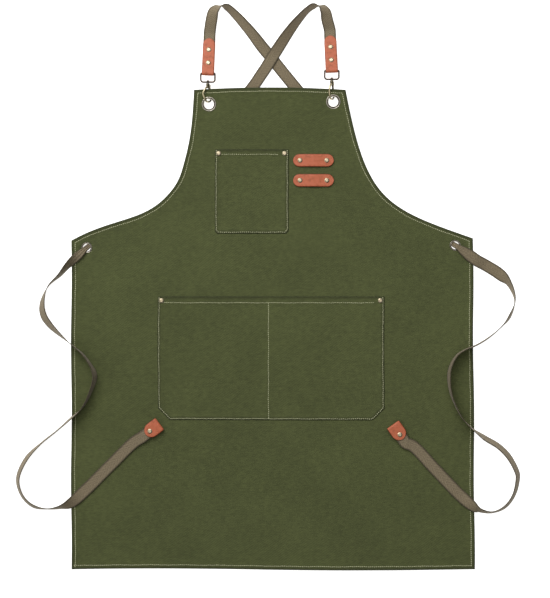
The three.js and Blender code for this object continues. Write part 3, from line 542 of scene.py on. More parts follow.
def cloth_sheet(name, outline, holes, face, back, spacing, material):
    """A closed sheet of cloth inside an outline. face and back give the heights of its two sides from
    the places and their distance from the edge; holes are (place, radius)."""
    rings = [inset(outline, distance) for distance in EDGE_RINGS]
    lowest, highest = outline.min(axis=0), outline.max(axis=0)
    grid = np.stack(np.meshgrid(np.arange(lowest[0], highest[0], spacing),
                                np.arange(lowest[1], highest[1], spacing)), axis=-1).reshape(-1, 2)
    grid = grid[inside(grid, rings[-1])]
    grid = grid[edge_distance(grid, outline) > EDGE_RINGS[-1] + spacing * 0.4]
    angles = np.arange(HOLE_POINTS) * 2 * math.pi / HOLE_POINTS
    circle = np.column_stack([np.cos(angles), np.sin(angles)])
    hole_rings = []
    for place, radius in holes:
        grid = grid[np.linalg.norm(grid - place, axis=1) > radius + spacing * 0.5]
        hole_rings.append(np.asarray(place) + circle * radius)
    places = np.vstack([rings[0], *hole_rings, *rings[1:], grid])
    count = len(outline)
    loops = [list(range(count))]
    for i in range(len(holes)):
        start = count + i * HOLE_POINTS
        loops.append(list(range(start, start + HOLE_POINTS)))
    made, _, triangles, sources, _, _ = delaunay_2d_cdt(
        [Vector(place) for place in places], [], loops, 1, 1e-7)
    made = np.array([tuple(point) for point in made])
    index = {source: i for i, group in enumerate(sources) for source in group}
    centres = made[np.array(triangles)].mean(axis=1)
    keep = np.ones(len(triangles), dtype=bool)
    for place, radius in holes:
        keep &= np.linalg.norm(centres - place, axis=1) > radius * 0.99
    distance = edge_distance(made, outline)
    warped = warp(made)
    top, under = face(made, distance), back(made, distance)
    total = len(made)
    points = np.vstack([np.column_stack([warped, top]), np.column_stack([warped, under])])
    faces = []
    for triangle, kept in zip(triangles, keep):
        if not kept:
            continue
        (ax, ay), (bx, by), (cx, cy) = made[triangle]
        a, b, c = triangle if (bx - ax) * (cy - ay) > (by - ay) * (cx - ax) else reversed(triangle)
        faces += [(a, b, c), (c + total, b + total, a + total)]
    for number, loop in enumerate(loops):
        ring = [index[i] for i in loop]
        for a, b in zip(ring, ring[1:] + ring[:1]):
            if number:
                a, b = b, a
            faces.append((a + total, b + total, b, a))
    used = sorted({i for one in faces for i in one})
    renumber = {old: new for new, old in enumerate(used)}
    faces = [tuple(renumber[i] for i in one) for one in faces]
    points = points[used] + np.asarray(HEM)
    return add_piece(name, points, faces, material, APRON, rims=np.tile(distance, 2)[used])


def hem_profile(distance, cloth):
    """How the folded hem raises the cloth's face near its edge: rounded at the fold, with a dent where
    the topstitching pulls it down."""
    rounded = 1 - smooth_step(distance, 0, 0.0012)
    band = 1 - smooth_step(distance, cloth.hem - 0.001, cloth.hem + 0.0025)
    dent = np.exp(-((distance - cloth.stitch_inset) / 0.0009) ** 2)
    return cloth.hem_rise * band - 0.0013 * rounded ** 2 - 0.00035 * dent


class APRON_OT_panel(bpy.types.Operator):
    """Makes the apron's body panel with its folded hem"""
    bl_idname = "apron.panel"
    bl_label = "Body panel"

    def execute(self, context):
        cloth = context.scene.apron_cloth
        outline = panel_outline()
        holes = []
        for kind, radius in PANEL_HOLES.items():
            for side in SIDES:
                place = middle_of(f"{kind}_eyelet_{side}") - HEM
                holes.append((np.array([place.x, place.y]), radius))

        def face(places, distance):
            return cloth_height(places[:, 0], places[:, 1]) + hem_profile(distance, cloth)

        def back(places, distance):
            fold = 1 - smooth_step(distance, cloth.hem - 0.0005, cloth.hem + 0.0005)
            rounded = 1 - smooth_step(distance, 0, 0.0012)
            # the fold lies underneath, but stands on the face where the hooks pass behind the bib
            taut = smooth_step(places[:, 1], APRON_LENGTH - 0.05, APRON_LENGTH - 0.03)
            extra = 2 * cloth.thickness + (cloth.hem_rise - 2 * cloth.thickness) * taut
            thick = cloth.thickness + fold * extra * (1 - 0.5 * rounded ** 2)
            return np.maximum(face(places, distance) - thick, 0.00005)

        piece = cloth_sheet("apron_panel", outline, holes, face, back, cloth.spacing,
                            finish_named(context, "waxed_twill_canvas"))
        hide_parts("body_panel")
        polygon_area(outline) + 3.1 * cloth.hem
        return {"FINISHED"}


# ---------------------------------------------------------------- pockets

# corner is how much is cut off the two lower corners, mouth the depth of the doubled mouth, and divider
# where the seam runs that parts the pocket in two, from the panel's middle.
POCKETS = {
    "chest": {"node": "chest_pocket", "corner": 0.004, "mouth": 0.010, "divider": None},
    "lap": {"node": "lap_pocket", "corner": 0.020, "mouth": 0.012, "divider": -0.0077},
}
POCKET_SEAM = 0.0022  # the seam's distance from a pocket's edge


def pocket_outline(node, corner):
    """A patch pocket's edge, anticlockwise, with its two lower corners cut off."""
    low, high = (np.array(point[:2]) - np.array(HEM[:2]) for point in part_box(node))
    corners = [(low[0] + corner, low[1]), (high[0] - corner, low[1]), (high[0], low[1] + corner),
               (high[0], high[1]), (low[0], high[1]), (low[0], low[1] + corner)]
    return np.vstack([straight(a, b, 0.004) for a, b in zip(corners, corners[1:] + corners[:1])])


def pocket_face(places, distance, outline, mouth):
    """Height of a pocket's face: its folded edges, its doubled mouth, and the slack in its middle."""
    thickness = bpy.context.scene.apron_cloth.thickness
    top, low = outline[:, 1].max(), outline[:, 1].min()
    left, right = outline[:, 0].min(), outline[:, 0].max()
    below = top - places[:, 1]
    fold = 1 - smooth_step(distance, 0.007, 0.0095)
    doubled = 1 - smooth_step(below, mouth - 0.0005, mouth + 0.001)
    rounded = 1 - smooth_step(distance, 0, 0.0011)
    across = np.clip((places[:, 0] - left) / (right - left), 0, 1)
    slack = np.sin(math.pi * across) * smooth_step(places[:, 1], low, top)
    dent = np.exp(-((distance - POCKET_SEAM) / 0.0008) ** 2) * (below > mouth * 0.5)
    gap = 0.0002
    return (cloth_height(places[:, 0], places[:, 1]) + gap + thickness
            + 0.0004 * fold + 0.0005 * doubled - 0.0007 * rounded ** 2 + 0.0009 * slack - 0.00025 * dent)


class APRON_OT_pockets(bpy.types.Operator):
    """Makes the chest pocket and the lap pocket"""
    bl_idname = "apron.pockets"
    bl_label = "Patch pockets"

    def execute(self, context):
        cloth = context.scene.apron_cloth
        for name, pocket in POCKETS.items():
            outline = pocket_outline(pocket["node"], pocket["corner"])

            def face(places, distance):
                return pocket_face(places, distance, outline, pocket["mouth"])

            def back(places, distance):
                resting = cloth_height(places[:, 0], places[:, 1]) + 0.0001
                return np.maximum(resting, face(places, distance) - 1.8 * cloth.thickness)

            piece = cloth_sheet(f"apron_{name}_pocket", outline, [], face, back, cloth.spacing * 0.8,
                                finish_named(context, "waxed_twill_canvas"))
            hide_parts(pocket["node"])
            width, depth = np.ptp(outline, axis=0)
            polygon_area(outline) + 2 * cloth.hem * depth
        return {"FINISHED"}


# ---------------------------------------------------------------- stitching

def walk(line, pitch):
    """Places along a line at a steady pitch, each with the line's direction there."""
    steps = np.linalg.norm(np.diff(line, axis=0), axis=1)
    reach = np.concatenate([[0], np.cumsum(steps)])
    count = max(1, int(reach[-1] / pitch))
    for s in (np.arange(count) + 0.5) * reach[-1] / count:
        i = min(np.searchsorted(reach, s) - 1, len(steps) - 1)
        along = (line[i + 1] - line[i]) / steps[i]
        yield line[i] + along * (s - reach[i]), along


STITCH_SIDES = 5
# a stitch's four rings: the share of its span, the share of its width, and how deep it lies
STITCH_RINGS = ((-0.5, 0.45, 0.0006), (-0.25, 1.0, 0.0), (0.25, 1.0, 0.0), (0.5, 0.45, 0.0006))


def add_stitch(points, faces, place, along, height, span, width):
    """One stitch: a short strand that dips into the cloth at both ends."""
    start = len(points)
    side = np.array([-along[1], along[0]])
    for share, swell, sink in STITCH_RINGS:
        centre = place + along * span * share
        for k in range(STITCH_SIDES):
            angle = 2 * math.pi * k / STITCH_SIDES
            flat = centre + side * math.cos(angle) * width / 2 * swell
            points.append((flat[0], flat[1], height - sink + math.sin(angle) * width * 0.3 * swell))
    for ring in range(3):
        for k in range(STITCH_SIDES):
            a = start + ring * STITCH_SIDES + k
            b = start + ring * STITCH_SIDES + (k + 1) % STITCH_SIDES
            faces.append((a, a + STITCH_SIDES, b + STITCH_SIDES, b))
    faces.append(tuple(range(start, start + STITCH_SIDES)))
    faces.append(tuple(range(start + 4 * STITCH_SIDES - 1, start + 3 * STITCH_SIDES - 1, -1)))


def closed(line):
    return np.vstack([line, line[:1]])


def stitch_lines(cloth):
    """Every seam's topstitching: its name, its runs, and the height of the cloth it is sewn through."""

    def panel_height(place):
        return cloth_height(place[0], place[1]) + cloth.hem_rise

    yield "panel_topstitch", [closed(inset(panel_outline(), cloth.stitch_inset))], panel_height
    for name, pocket in POCKETS.items():
        outline = pocket_outline(pocket["node"], pocket["corner"])
        seam = inset(outline, POCKET_SEAM)
        top = outline[:, 1].max()
        left, right = seam[:, 0].min(), seam[:, 0].max()
        mouth = top - pocket["mouth"] + 0.0012
        low = seam[:, 1].min()
        corner = pocket["corner"] * 0.93
        runs = [
            np.array([[left, top - 0.001], [left, low + corner], [left + corner, low],
                      [right - corner, low], [right, low + corner], [right, top - 0.001]]),
            straight((left + 0.005, mouth), (right - 0.005, mouth), 0.01),
        ]
        if pocket["divider"] is not None:
            runs.append(np.array([[pocket["divider"], mouth], [pocket["divider"], low]]))

        def height(place, outline=outline, pocket=pocket):
            spot = np.array([[place[0], place[1]]])
            return pocket_face(spot, edge_distance(spot, outline), outline, pocket["mouth"])[0]

        yield f"{name}_pocket_topstitch", runs, height


class APRON_OT_stitching(bpy.types.Operator):
    """Makes every run of topstitching, stitch by stitch"""
    bl_idname = "apron.stitching"
    bl_label = "Topstitching"

    def execute(self, context):
        cloth = context.scene.apron_cloth
        for name, runs, height in stitch_lines(cloth):
            points, faces = [], []
            for run in runs:
                for number, (place, along) in enumerate(walk(run, cloth.stitch_pitch)):
                    # hand-guided seams wander a little, and no two stitches pull alike
                    wander = 0.00025 * math.sin(number * 0.37) + 0.00015 * math.sin(number * 1.7)
                    spot = place + np.array([-along[1], along[0]]) * wander
                    spot = warp([spot])[0]
                    span = cloth.stitch_pitch * (0.80 + 0.06 * math.sin(number * 2.3))
                    add_stitch(points, faces, spot, along, height(place) + 0.0001, span, cloth.thread_width)
            add_piece(name, np.array(points) + np.asarray(HEM), faces,
                      finish_named(context, "spun_polyester_thread"), APRON)
        return {"FINISHED"}


# ---------------------------------------------------------------- strips: webbing and leather

class Station:
    """One section of a strip: its middle, the unit vectors across it and out of its face, half its
    width there, and how high the folds stand where it is bunched."""

    def __init__(self, middle, across, out, half, fold=0.0):
        self.middle, self.across, self.out, self.half, self.fold = middle, across, out, half, fold


def strip(name, stations, thickness, material, body, columns=9, rounding=0.4):
    """A closed strip swept through its stations, with rounded edges, a chart in metres along and
    across it, and each point's distance from its edge."""
    half = thickness / 2
    shares = np.linspace(-1, 1, columns)
    points, charts, rims = [], [], []
    along, before = 0.0, stations[0].middle
    full = max(station.half for station in stations)
    ring = [*((share, 1.0) for share in shares), (1.0, 0.0),
            *((share, -1.0) for share in shares[::-1]), (-1.0, 0.0)]
    for station in stations:
        along += (station.middle - before).length
        before = station.middle
        up = 1 if station.out.z >= 0 else -1
        for share, level in ring:
            thin = half * (1 - rounding * abs(share) ** 12)
            bulge = 0.00012 if level == 0 else 0
            fold = station.fold * (0.5 - 0.5 * math.cos(3 * math.pi * (share + 1)))
            reach = station.half * share + math.copysign(bulge, share)
            points.append(station.middle + station.across * reach
                          + station.out * (thin * level + fold * up))
            charts.append((along, share * full))
            rims.append((1 - abs(share)) * station.half if level else 0.0)
    count = len(ring)
    faces = []
    for i in range(len(stations) - 1):
        for k in range(count):
            a, b = i * count + k, i * count + (k + 1) % count
            faces.append((a, b, b + count, a + count))
    last = (len(stations) - 1) * count
    for k in range(columns - 1):
        # both ends are closed by a strip of quads between the two faces
        low, high = count - 2 - k, count - 3 - k
        faces.append((k, low, high, k + 1))
        faces.append((last + k + 1, last + high, last + low, last + k))
    faces += [(0, count - 1, count - 2), (columns - 1, columns + 1, columns)]
    faces += [(last, last + count - 2, last + count - 1),
              (last + columns - 1, last + columns, last + columns + 1)]
    if volume(points, faces) < 0:
        faces = [tuple(reversed(face)) for face in faces]
    return add_piece(name, points, faces, material, body, charts, rims), along


def volume(points, faces):
    """The signed volume inside a closed mesh: negative where its faces point inwards."""
    spots = np.array([tuple(point) for point in points])
    total = 0.0
    for face in faces:
        for i in range(1, len(face) - 1):
            a, b, c = spots[face[0]], spots[face[i]], spots[face[i + 1]]
            total += np.dot(a, np.cross(b, c))
    return total


# ---------------------------------------------------------------- straps

# heights of what the webbing rests on
SURFACE = 0.0
ON_CLOTH = 0.0038
ON_HEM = 0.0044
TAB_LENGTH, TAB_WIDTH, TAB_NECK = 0.061, 0.0206, 0.014
TIP_LENGTH, TIP_WIDTH, TIP_NECK = 0.027, 0.025, 0.002
BAR_FOLD = 0.0019  # from the middle of the loop's bar to the inside of the tab's fold
ROLL_METRES = 0.0003  # what a degree of roll counts as, where the curve spaces itself by distance
TAB_PITCH = -8.5  # the tabs slope down from the hooks to the surface, in degrees
TAB_LEAN = {"left": -2.1, "right": 2.5}
STACK_HALF = 0.00275  # from the middle of a leather fold to its outside

# Rows are (x, y, base, roll): the place, the height of what the webbing rests on, and how far it has
# rolled about its own length in degrees, 0 with its face up and 90 on edge; a fifth number is the width
# where it is bunched. over is measured from the middle of the bib's top, tail from the side eyelet, and
# behind as shares of the way between them.
ROUTES = {
    "left": {
        "eyelet": "right", "face_down": 180, "exit": -35, "tip": (-0.1046, -0.3065, -145),
        "over": [
            (-0.104, 0.116, 0.0085, 6), (-0.1006, 0.129, 0.008, 26), (-0.0939, 0.1358, 0.005, 50),
            (-0.087, 0.1388, 0.002, 84), (-0.0778, 0.1364, 0.001, 115), (-0.0646, 0.1248, SURFACE, 126),
            (-0.05, 0.1091, SURFACE, 136), (-0.0345, 0.091, SURFACE, 148), (-0.018, 0.07, SURFACE, 170),
            (-0.001, 0.0498, SURFACE, 180), (0.0185, 0.0254, SURFACE, 180), (0.0386, 0.0009, SURFACE, 180),
        ],
        "behind": [(0.31, 0.39), (0.44, 0.65), (0.6, 0.81), (0.8, 0.92)],
        "tail": [
            (0.0147, -0.0103, 0.00535, 180, 0.0155), (0.0279, -0.0195, 0.005, 180),
            (0.0365, -0.0256, 0.0042, 180), (0.0526, -0.034, SURFACE, 180),
            (0.0753, -0.0487, SURFACE, 166), (0.0895, -0.063, SURFACE, 112),
            (0.1006, -0.0931, SURFACE, 85), (0.092, -0.1206, SURFACE, 70), (0.0805, -0.1357, SURFACE, 80),
            (0.0548, -0.1577, SURFACE, 88), (0.0314, -0.171, ON_HEM, 90), (0.018, -0.176, ON_HEM, 90),
            (0.0025, -0.186, ON_CLOTH, 92), (-0.0088, -0.2057, ON_CLOTH, 96),
            (-0.0117, -0.224, ON_CLOTH, 98), (-0.0088, -0.2494, ON_CLOTH, 94), (0, -0.273, ON_CLOTH, 90),
            (0.011, -0.293, ON_CLOTH, 88), (0.029, -0.312, ON_HEM, 84), (0.0491, -0.3267, 0.0015, 67),
            (0.073, -0.3411, SURFACE, 64), (0.0911, -0.3595, SURFACE, 61), (0.1047, -0.3858, SURFACE, 61),
            (0.1058, -0.3937, SURFACE, 61), (0.0993, -0.423, SURFACE, 64), (0.0839, -0.4438, SURFACE, 66),
            (0.0622, -0.4529, SURFACE, 74), (0.0413, -0.4494, ON_HEM, 66), (0.029, -0.4424, ON_HEM, 30),
            (0.0076, -0.424, ON_HEM, 0), (-0.035, -0.3796, ON_HEM, 0),
            (-0.0714, -0.3414, ON_HEM + 0.0008, 0),
        ],
    },
    "right": {
        "eyelet": "left", "face_down": -180, "exit": -136, "tip": (0.1222, -0.3006, 127),
        "over": [
            (0.0916, 0.1157, 0.0085, -8), (0.089, 0.1284, 0.008, -28), (0.0838, 0.1358, 0.005, -48),
            (0.0766, 0.139, 0.002, -84), (0.0676, 0.1378, 0.001, -110), (0.0594, 0.1326, SURFACE, -112),
            (0.0422, 0.1144, SURFACE, -126), (0.0246, 0.0914, 0.0012, -145),
            (0.0077, 0.0663, 0.0016, -166), (-0.0028, 0.0502, 0.0017, -180),
            (-0.0112, 0.0363, 0.0016, -180), (-0.0203, 0.0229, 0.0006, -180),
            (-0.0351, 0.0014, SURFACE, -180),
        ],
        "behind": [(0.3, 0.39), (0.4, 0.64), (0.56, 0.8), (0.79, 0.91)],
        "tail": [
            (-0.0129, -0.0125, 0.00535, -166, 0.014), (-0.0218, -0.021, 0.0048, -136, 0.017),
            (-0.0314, -0.031, 0.0036, -114), (-0.0445, -0.0459, SURFACE, -101),
            (-0.0658, -0.0671, SURFACE, -84), (-0.0752, -0.0976, SURFACE, -57),
            (-0.0726, -0.1153, SURFACE, -50), (-0.0626, -0.1304, SURFACE, -54),
            (-0.0286, -0.1612, ON_HEM, -83), (-0.006, -0.1804, ON_CLOTH, -90),
            (0.0074, -0.1986, ON_CLOTH, -95), (0.0149, -0.2173, ON_CLOTH, -104),
            (0.0074, -0.2454, ON_CLOTH, -98), (-0.0074, -0.2726, ON_CLOTH, -90),
            (-0.0268, -0.2904, ON_HEM, -80), (-0.0517, -0.3121, 0.0015, -84),
            (-0.0754, -0.331, SURFACE, -82), (-0.1024, -0.359, SURFACE, -67),
            (-0.1164, -0.3934, SURFACE, -65), (-0.1083, -0.4218, SURFACE, -66),
            (-0.0906, -0.4382, SURFACE, -66), (-0.0659, -0.4431, SURFACE, -79),
            (-0.0447, -0.4405, 0.0015, -68), (-0.0275, -0.4342, ON_HEM, -34),
            (-0.0024, -0.4124, ON_HEM, 0), (0.0401, -0.37, ON_HEM, 0),
            (0.0802, -0.3308, ON_HEM + 0.0008, 0),
        ],
    },
}

# Through a side eyelet: distance along the exit's direction, base, width.
THREADING = [
    (-0.016, 0, 0.018), (-0.0085, 0, 0.012), (-0.0045, 0.0001, 0.0084), (0, 0.00255, 0.009),
    (0.0045, 0.00485, 0.009), (0.009, 0.00535, 0.011),
]


def standing(roll, width, thickness):
    """How high the webbing's middle stands over its base when it has rolled this far."""
    return width / 2 * np.abs(np.sin(roll)) + thickness / 2 * np.abs(np.cos(roll))


def curve_through(rows, steps):
    """A centripetal Catmull-Rom curve through the rows, with a number of steps between two rows."""
    rows = np.asarray(rows, dtype=float)
    padded = np.vstack([2 * rows[0] - rows[1], rows, 2 * rows[-1] - rows[-2]])
    t = np.linspace(0, 1, steps, endpoint=False)[:, None]
    result = []
    for p0, p1, p2, p3 in zip(padded, padded[1:], padded[2:], padded[3:]):
        d0, d1, d2 = (max(np.linalg.norm(b - a) ** 0.5, 1e-6) for a, b in ((p0, p1), (p1, p2), (p2, p3)))
        m1 = ((p1 - p0) / d0 - (p2 - p0) / (d0 + d1) + (p2 - p1) / d1) * d1
        m2 = ((p2 - p1) / d1 - (p3 - p1) / (d1 + d2) + (p3 - p2) / d2) * d1
        result.append(p1 + m1 * t + (3 * (p2 - p1) - 2 * m1 - m2) * t * t
                      + (2 * (p1 - p2) + m1 + m2) * t ** 3)
    return np.vstack([*result, rows[-1:]])


def tab_frame(side):
    """Where a shoulder tab's fold lies on its loop's bar: +Y runs up the tab, +Z out of its face."""
    pivot = Vector(JOINTS[f"loop_swing_{side}"]["pos_m"])
    lean = Matrix.Rotation(math.radians(TAB_LEAN[side]), 4, "Z")
    return Matrix.Translation(pivot) @ lean @ Matrix.Rotation(math.radians(TAB_PITCH), 4, "X")


def tip_frame(side):
    """Where a strap tip's fold lies: +Y runs along the tip towards its round end."""
    x, y, turn = ROUTES[side]["tip"]
    eyelet = middle_of(f"side_eyelet_{ROUTES[side]['eyelet']}")
    low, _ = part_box(f"strap_tip_{side}")
    return Matrix.Translation((eyelet.x + x, eyelet.y + y, low[2] + STACK_HALF)) \
        @ Matrix.Rotation(math.radians(turn), 4, "Z")


def strap_rows(side, thickness, full):
    """The strap's route as arrays of place and base, roll, and width, from its tab to its tip."""
    route = ROUTES[side]
    eyelet = middle_of(f"side_eyelet_{route['eyelet']}")
    rows = []

    def in_leather(matrix, along):
        spot = matrix @ Vector((0, along, 0))
        rows.append((spot.x, spot.y, spot.z - thickness / 2, 0, full))

    for along in (0.009, 0.024, 0.042, TAB_LENGTH, TAB_LENGTH + 0.010):
        in_leather(tab_frame(side), along)
    top = HEM + Vector((0, APRON_LENGTH, 0))
    over = [(top.x + x, top.y + y, base, roll, full) for x, y, base, roll in route["over"]]
    rows += over
    edge = over[-1]
    rows += [(edge[0] + (eyelet.x - edge[0]) * u, edge[1] + (eyelet.y - edge[1]) * v, SURFACE,
              route["face_down"], full) for u, v in route["behind"]]
    heading = math.radians(route["exit"])
    rows += [(eyelet.x + along * math.cos(heading), eyelet.y + along * math.sin(heading),
              base, route["face_down"], width) for along, base, width in THREADING]
    rows += [(eyelet.x + x, eyelet.y + y, base, roll, *(width or [full]))
             for x, y, base, roll, *width in route["tail"]]
    for along in (TIP_LENGTH + 0.008, TIP_LENGTH, 0.017, 0.006):
        in_leather(tip_frame(side), along)
    return np.array(rows)


class APRON_OT_straps(bpy.types.Operator):
    """Makes the two webbing straps, from their tabs through the side eyelets to their tips"""
    bl_idname = "apron.straps"
    bl_label = "Webbing straps"

    def execute(self, context):
        strap = context.scene.apron_strap
        for side in SIDES:
            rows = strap_rows(side, strap.thickness, strap.width)
            plan = curve_through(rows[:, :3], strap.stations)
            twist = curve_through(np.column_stack([rows[:, 3] * ROLL_METRES, rows[:, 4], rows[:, 4] * 0]),
                                  strap.stations)
            rolls, widths = np.radians(twist[:, 0] / ROLL_METRES), np.minimum(twist[:, 1], strap.width)
            heights = np.maximum(plan[:, 2], 0) + standing(rolls, widths, strap.thickness)
            middles = np.column_stack([plan[:, :2], heights])
            tangents = np.gradient(middles, axis=0)
            stations = []
            for middle, tangent, roll, width in zip(middles, tangents, rolls, widths):
                tangent = Vector(tangent).normalized()
                level = tangent.cross(Vector((0, 0, 1))).normalized()
                steep = level.cross(tangent)
                across = level * math.cos(roll) + steep * math.sin(roll)
                slack = max(0.0, strap.width - width - 0.0004)
                stations.append(Station(Vector(middle), across, tangent.cross(across), width / 2,
                                        0.16 * slack))
            piece, reach = strip(f"webbing_strap_{side}", stations, strap.thickness,
                                 finish_named(context, "herringbone_cotton_webbing"), APRON,
                                 columns=13, rounding=0.25)
            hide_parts(f"strap_{side}")
        return {"FINISHED"}


# ---------------------------------------------------------------- leather

def round_ended(total, half, ends, spacing=0.0012):
    """Places along a strip of leather, each with its half width there; ends says which end is round."""
    places = list(np.linspace(half if ends[0] else 0, total - half if ends[1] else total,
                              max(8, round(total / spacing))))
    quarter = np.linspace(0, math.pi / 2, 9)[1:]
    if ends[0]:
        places = [half * (1 - math.sin(a)) for a in quarter[::-1]] + places
    if ends[1]:
        places += [total - half * (1 - math.sin(a)) for a in quarter]
    result = []
    for place in places:
        near = min(place if ends[0] else half, total - place if ends[1] else half, half)
        result.append((place, max(math.sqrt(max(half * half - (half - near) ** 2, 0)), 0.0004)))
    return result


def folded_path(reach, fold, gap, neck):
    """A function of the distance along a piece of leather folded double: its place (along, up) and its
    direction. The fold's middle line has radius fold, and the two cheeks lie gap from the middle."""
    slant = math.hypot(neck, fold - gap)
    straight_part = reach - neck
    arc = math.pi * fold
    lean = math.atan2(fold - gap, neck)

    def at(s):
        upper = straight_part + slant
        if s <= straight_part:
            return (reach - s, gap), (-1, 0)
        if s <= upper:
            t = (s - straight_part) / slant
            return (neck * (1 - t), gap + (fold - gap) * t), (-math.cos(lean), math.sin(lean))
        if s <= upper + arc:
            angle = math.pi / 2 + (s - upper) / fold
            return (fold * math.cos(angle), fold * math.sin(angle)), (-math.sin(angle), math.cos(angle))
        back, heading = at(2 * upper + arc - s)
        return (back[0], -back[1]), (-heading[0], heading[1])

    return at, 2 * (straight_part + slant) + arc


def folded_leather(name, frame_of, reach, width, fold, gap, neck, settings, material, node):
    """Leather folded double over a bar or a strap's end, its two free ends cut round."""
    at, total = folded_path(reach, fold, gap, neck)
    stations = []
    for s, half in round_ended(total, width / 2, (True, True)):
        (along, up), (run, rise) = at(s)
        middle = frame_of @ Vector((0, along, up))
        across = frame_of.to_3x3() @ Vector((1, 0, 0))
        out = frame_of.to_3x3() @ Vector((0, rise, -run))
        stations.append(Station(middle, across, out, half))
    piece, _ = strip(name, stations, settings.thickness, material, APRON,
                     columns=15, rounding=0.5)
    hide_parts(node)
    return piece


class APRON_OT_leather(bpy.types.Operator):
    """Makes the shoulder tabs, the strap tips and the tool loops"""
    bl_idname = "apron.leather"
    bl_label = "Leather pieces"

    def execute(self, context):
        settings = context.scene.apron_leather
        material = finish_named(context, "vegetable_tanned_leather")
        cheek = STACK_HALF - settings.thickness / 2
        for side in SIDES:
            folded_leather(f"leather_tab_{side}", tab_frame(side), TAB_LENGTH, TAB_WIDTH,
                           BAR_FOLD + settings.thickness / 2, cheek, TAB_NECK, settings, material,
                           f"shoulder_tab_{side}")
            folded_leather(f"leather_tip_{side}", tip_frame(side), TIP_LENGTH, TIP_WIDTH,
                           cheek, cheek, TIP_NECK, settings, material, f"strap_tip_{side}")
        for place in ("upper", "lower"):
            self.tool_loop(place, settings, material)
        return {"FINISHED"}

    def tool_loop(self, place, settings, material):
        low, high = (Vector(point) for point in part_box(f"tool_loop_{place}"))
        span, width = high.x - low.x, high.y - low.y
        stations = []
        for s, half in round_ended(span, width / 2, (True, True)):
            # the strip bows up a little between its rivets, where a tool is pushed under it
            bow = 0.0011 * math.sin(math.pi * s / span) ** 4
            middle = Vector((low.x + s, (low.y + high.y) / 2, low.z + settings.thickness / 2 + bow))
            stations.append(Station(middle, Vector((0, 1, 0)), Vector((0, 0, 1)), half))
        piece, _ = strip(f"leather_tool_loop_{place}", stations, settings.thickness, material, APRON,
                         columns=15, rounding=0.5)
        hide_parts(f"tool_loop_{place}")


# ---------------------------------------------------------------- rivets and eyelets

def select_faces(piece, wanted):
    """Selects the faces for which wanted(centre, normal) holds, ready for edit mode."""
    mesh = piece.data
    mesh.polygons.foreach_set("select", [False] * len(mesh.polygons))
    mesh.edges.foreach_set("select", [False] * len(mesh.edges))
    mesh.vertices.foreach_set("select", [False] * len(mesh.vertices))
    for face in mesh.polygons:
        face.select = wanted(face.center, face.normal)


def in_edit_mode(piece, action):
    """Runs an action on a piece's selected faces in edit mode."""
    bpy.context.view_layer.objects.active = piece
    bpy.ops.object.mode_set(mode="EDIT")
    bpy.ops.mesh.select_mode(type="FACE")
    action()
    bpy.ops.object.mode_set(mode="OBJECT")


def stepped(piece, steps):
    """Draws the top face of an upright piece in by insets, each given as (inset, rise)."""
    for thickness, rise in steps:
        top = max(face.center.z for face in piece.data.polygons)
        select_faces(piece, lambda centre, normal: normal.z > 0.9 and centre.z > top - 1e-6)

        def shape():
            bpy.ops.mesh.inset(thickness=thickness, depth=0)
            bpy.ops.transform.translate(value=(0, 0, rise))

        in_edit_mode(piece, shape)


def paint_shade_where(piece, test, darkness=1.0):
    """Marks the points where the plating is darkened: painted shade, and in the grooves some dirt as well.
    """
    values = piece.data.attributes.new("groove", "FLOAT", "POINT").data
    for vertex, value in zip(piece.data.vertices, values):
        value.value = darkness if test(vertex.co) else 0.0


def master_rivet(radius, span):
    """A tubular rivet standing at the origin: its domed cap over a shank of the given length."""
    deselect_all()
    bpy.ops.mesh.primitive_cylinder_add(vertices=28, radius=radius, depth=0.0005,
                                        location=(0, 0, 0.00025))
    cap = bpy.context.active_object
    stepped(cap, [(radius * 0.12, 0.00035), (radius * 0.16, 0.00028), (radius * 0.22, 0.0002),
                  (radius * 0.2, 0.00006), (radius * 0.06, -0.0002), (radius * 0.1, -0.00008)])
    bpy.ops.mesh.primitive_cylinder_add(vertices=16, radius=radius * 0.37, depth=span,
                                        location=(0, 0, -span / 2 + 0.0001))
    shank = bpy.context.active_object
    bpy.ops.mesh.primitive_cylinder_add(vertices=28, radius=radius, depth=0.0006,
                                        location=(0, 0, -span))
    foot = bpy.context.active_object
    select_only(cap, shank, foot)
    bpy.ops.object.join()
    settle(cap)

    def shaded_and_dirty(place):
        # painted shade and dirt in the ring round the crown, and in the crown's dimple
        away = place.xy.length
        return 0.6 * radius < away < 0.8 * radius or away < 0.1 * radius

    paint_shade_where(cap, shaded_and_dirty)
    bpy.ops.object.shade_smooth_by_angle(angle=math.radians(32))
    return cap


RIVETS = {
    "loop": [f"loop_rivet_{place}_{side}" for place in ("upper", "lower") for side in SIDES],
    "pocket": [f"{pocket}_rivet_{side}" for pocket in POCKETS for side in SIDES],
    "tab": [f"tab_rivet_{side}_{number}" for side in SIDES for number in (1, 2)],
    "tip": [f"tip_rivet_{side}" for side in SIDES],
}
TAB_RIVETS = (0.018, 0.041)
TIP_RIVET = 0.018


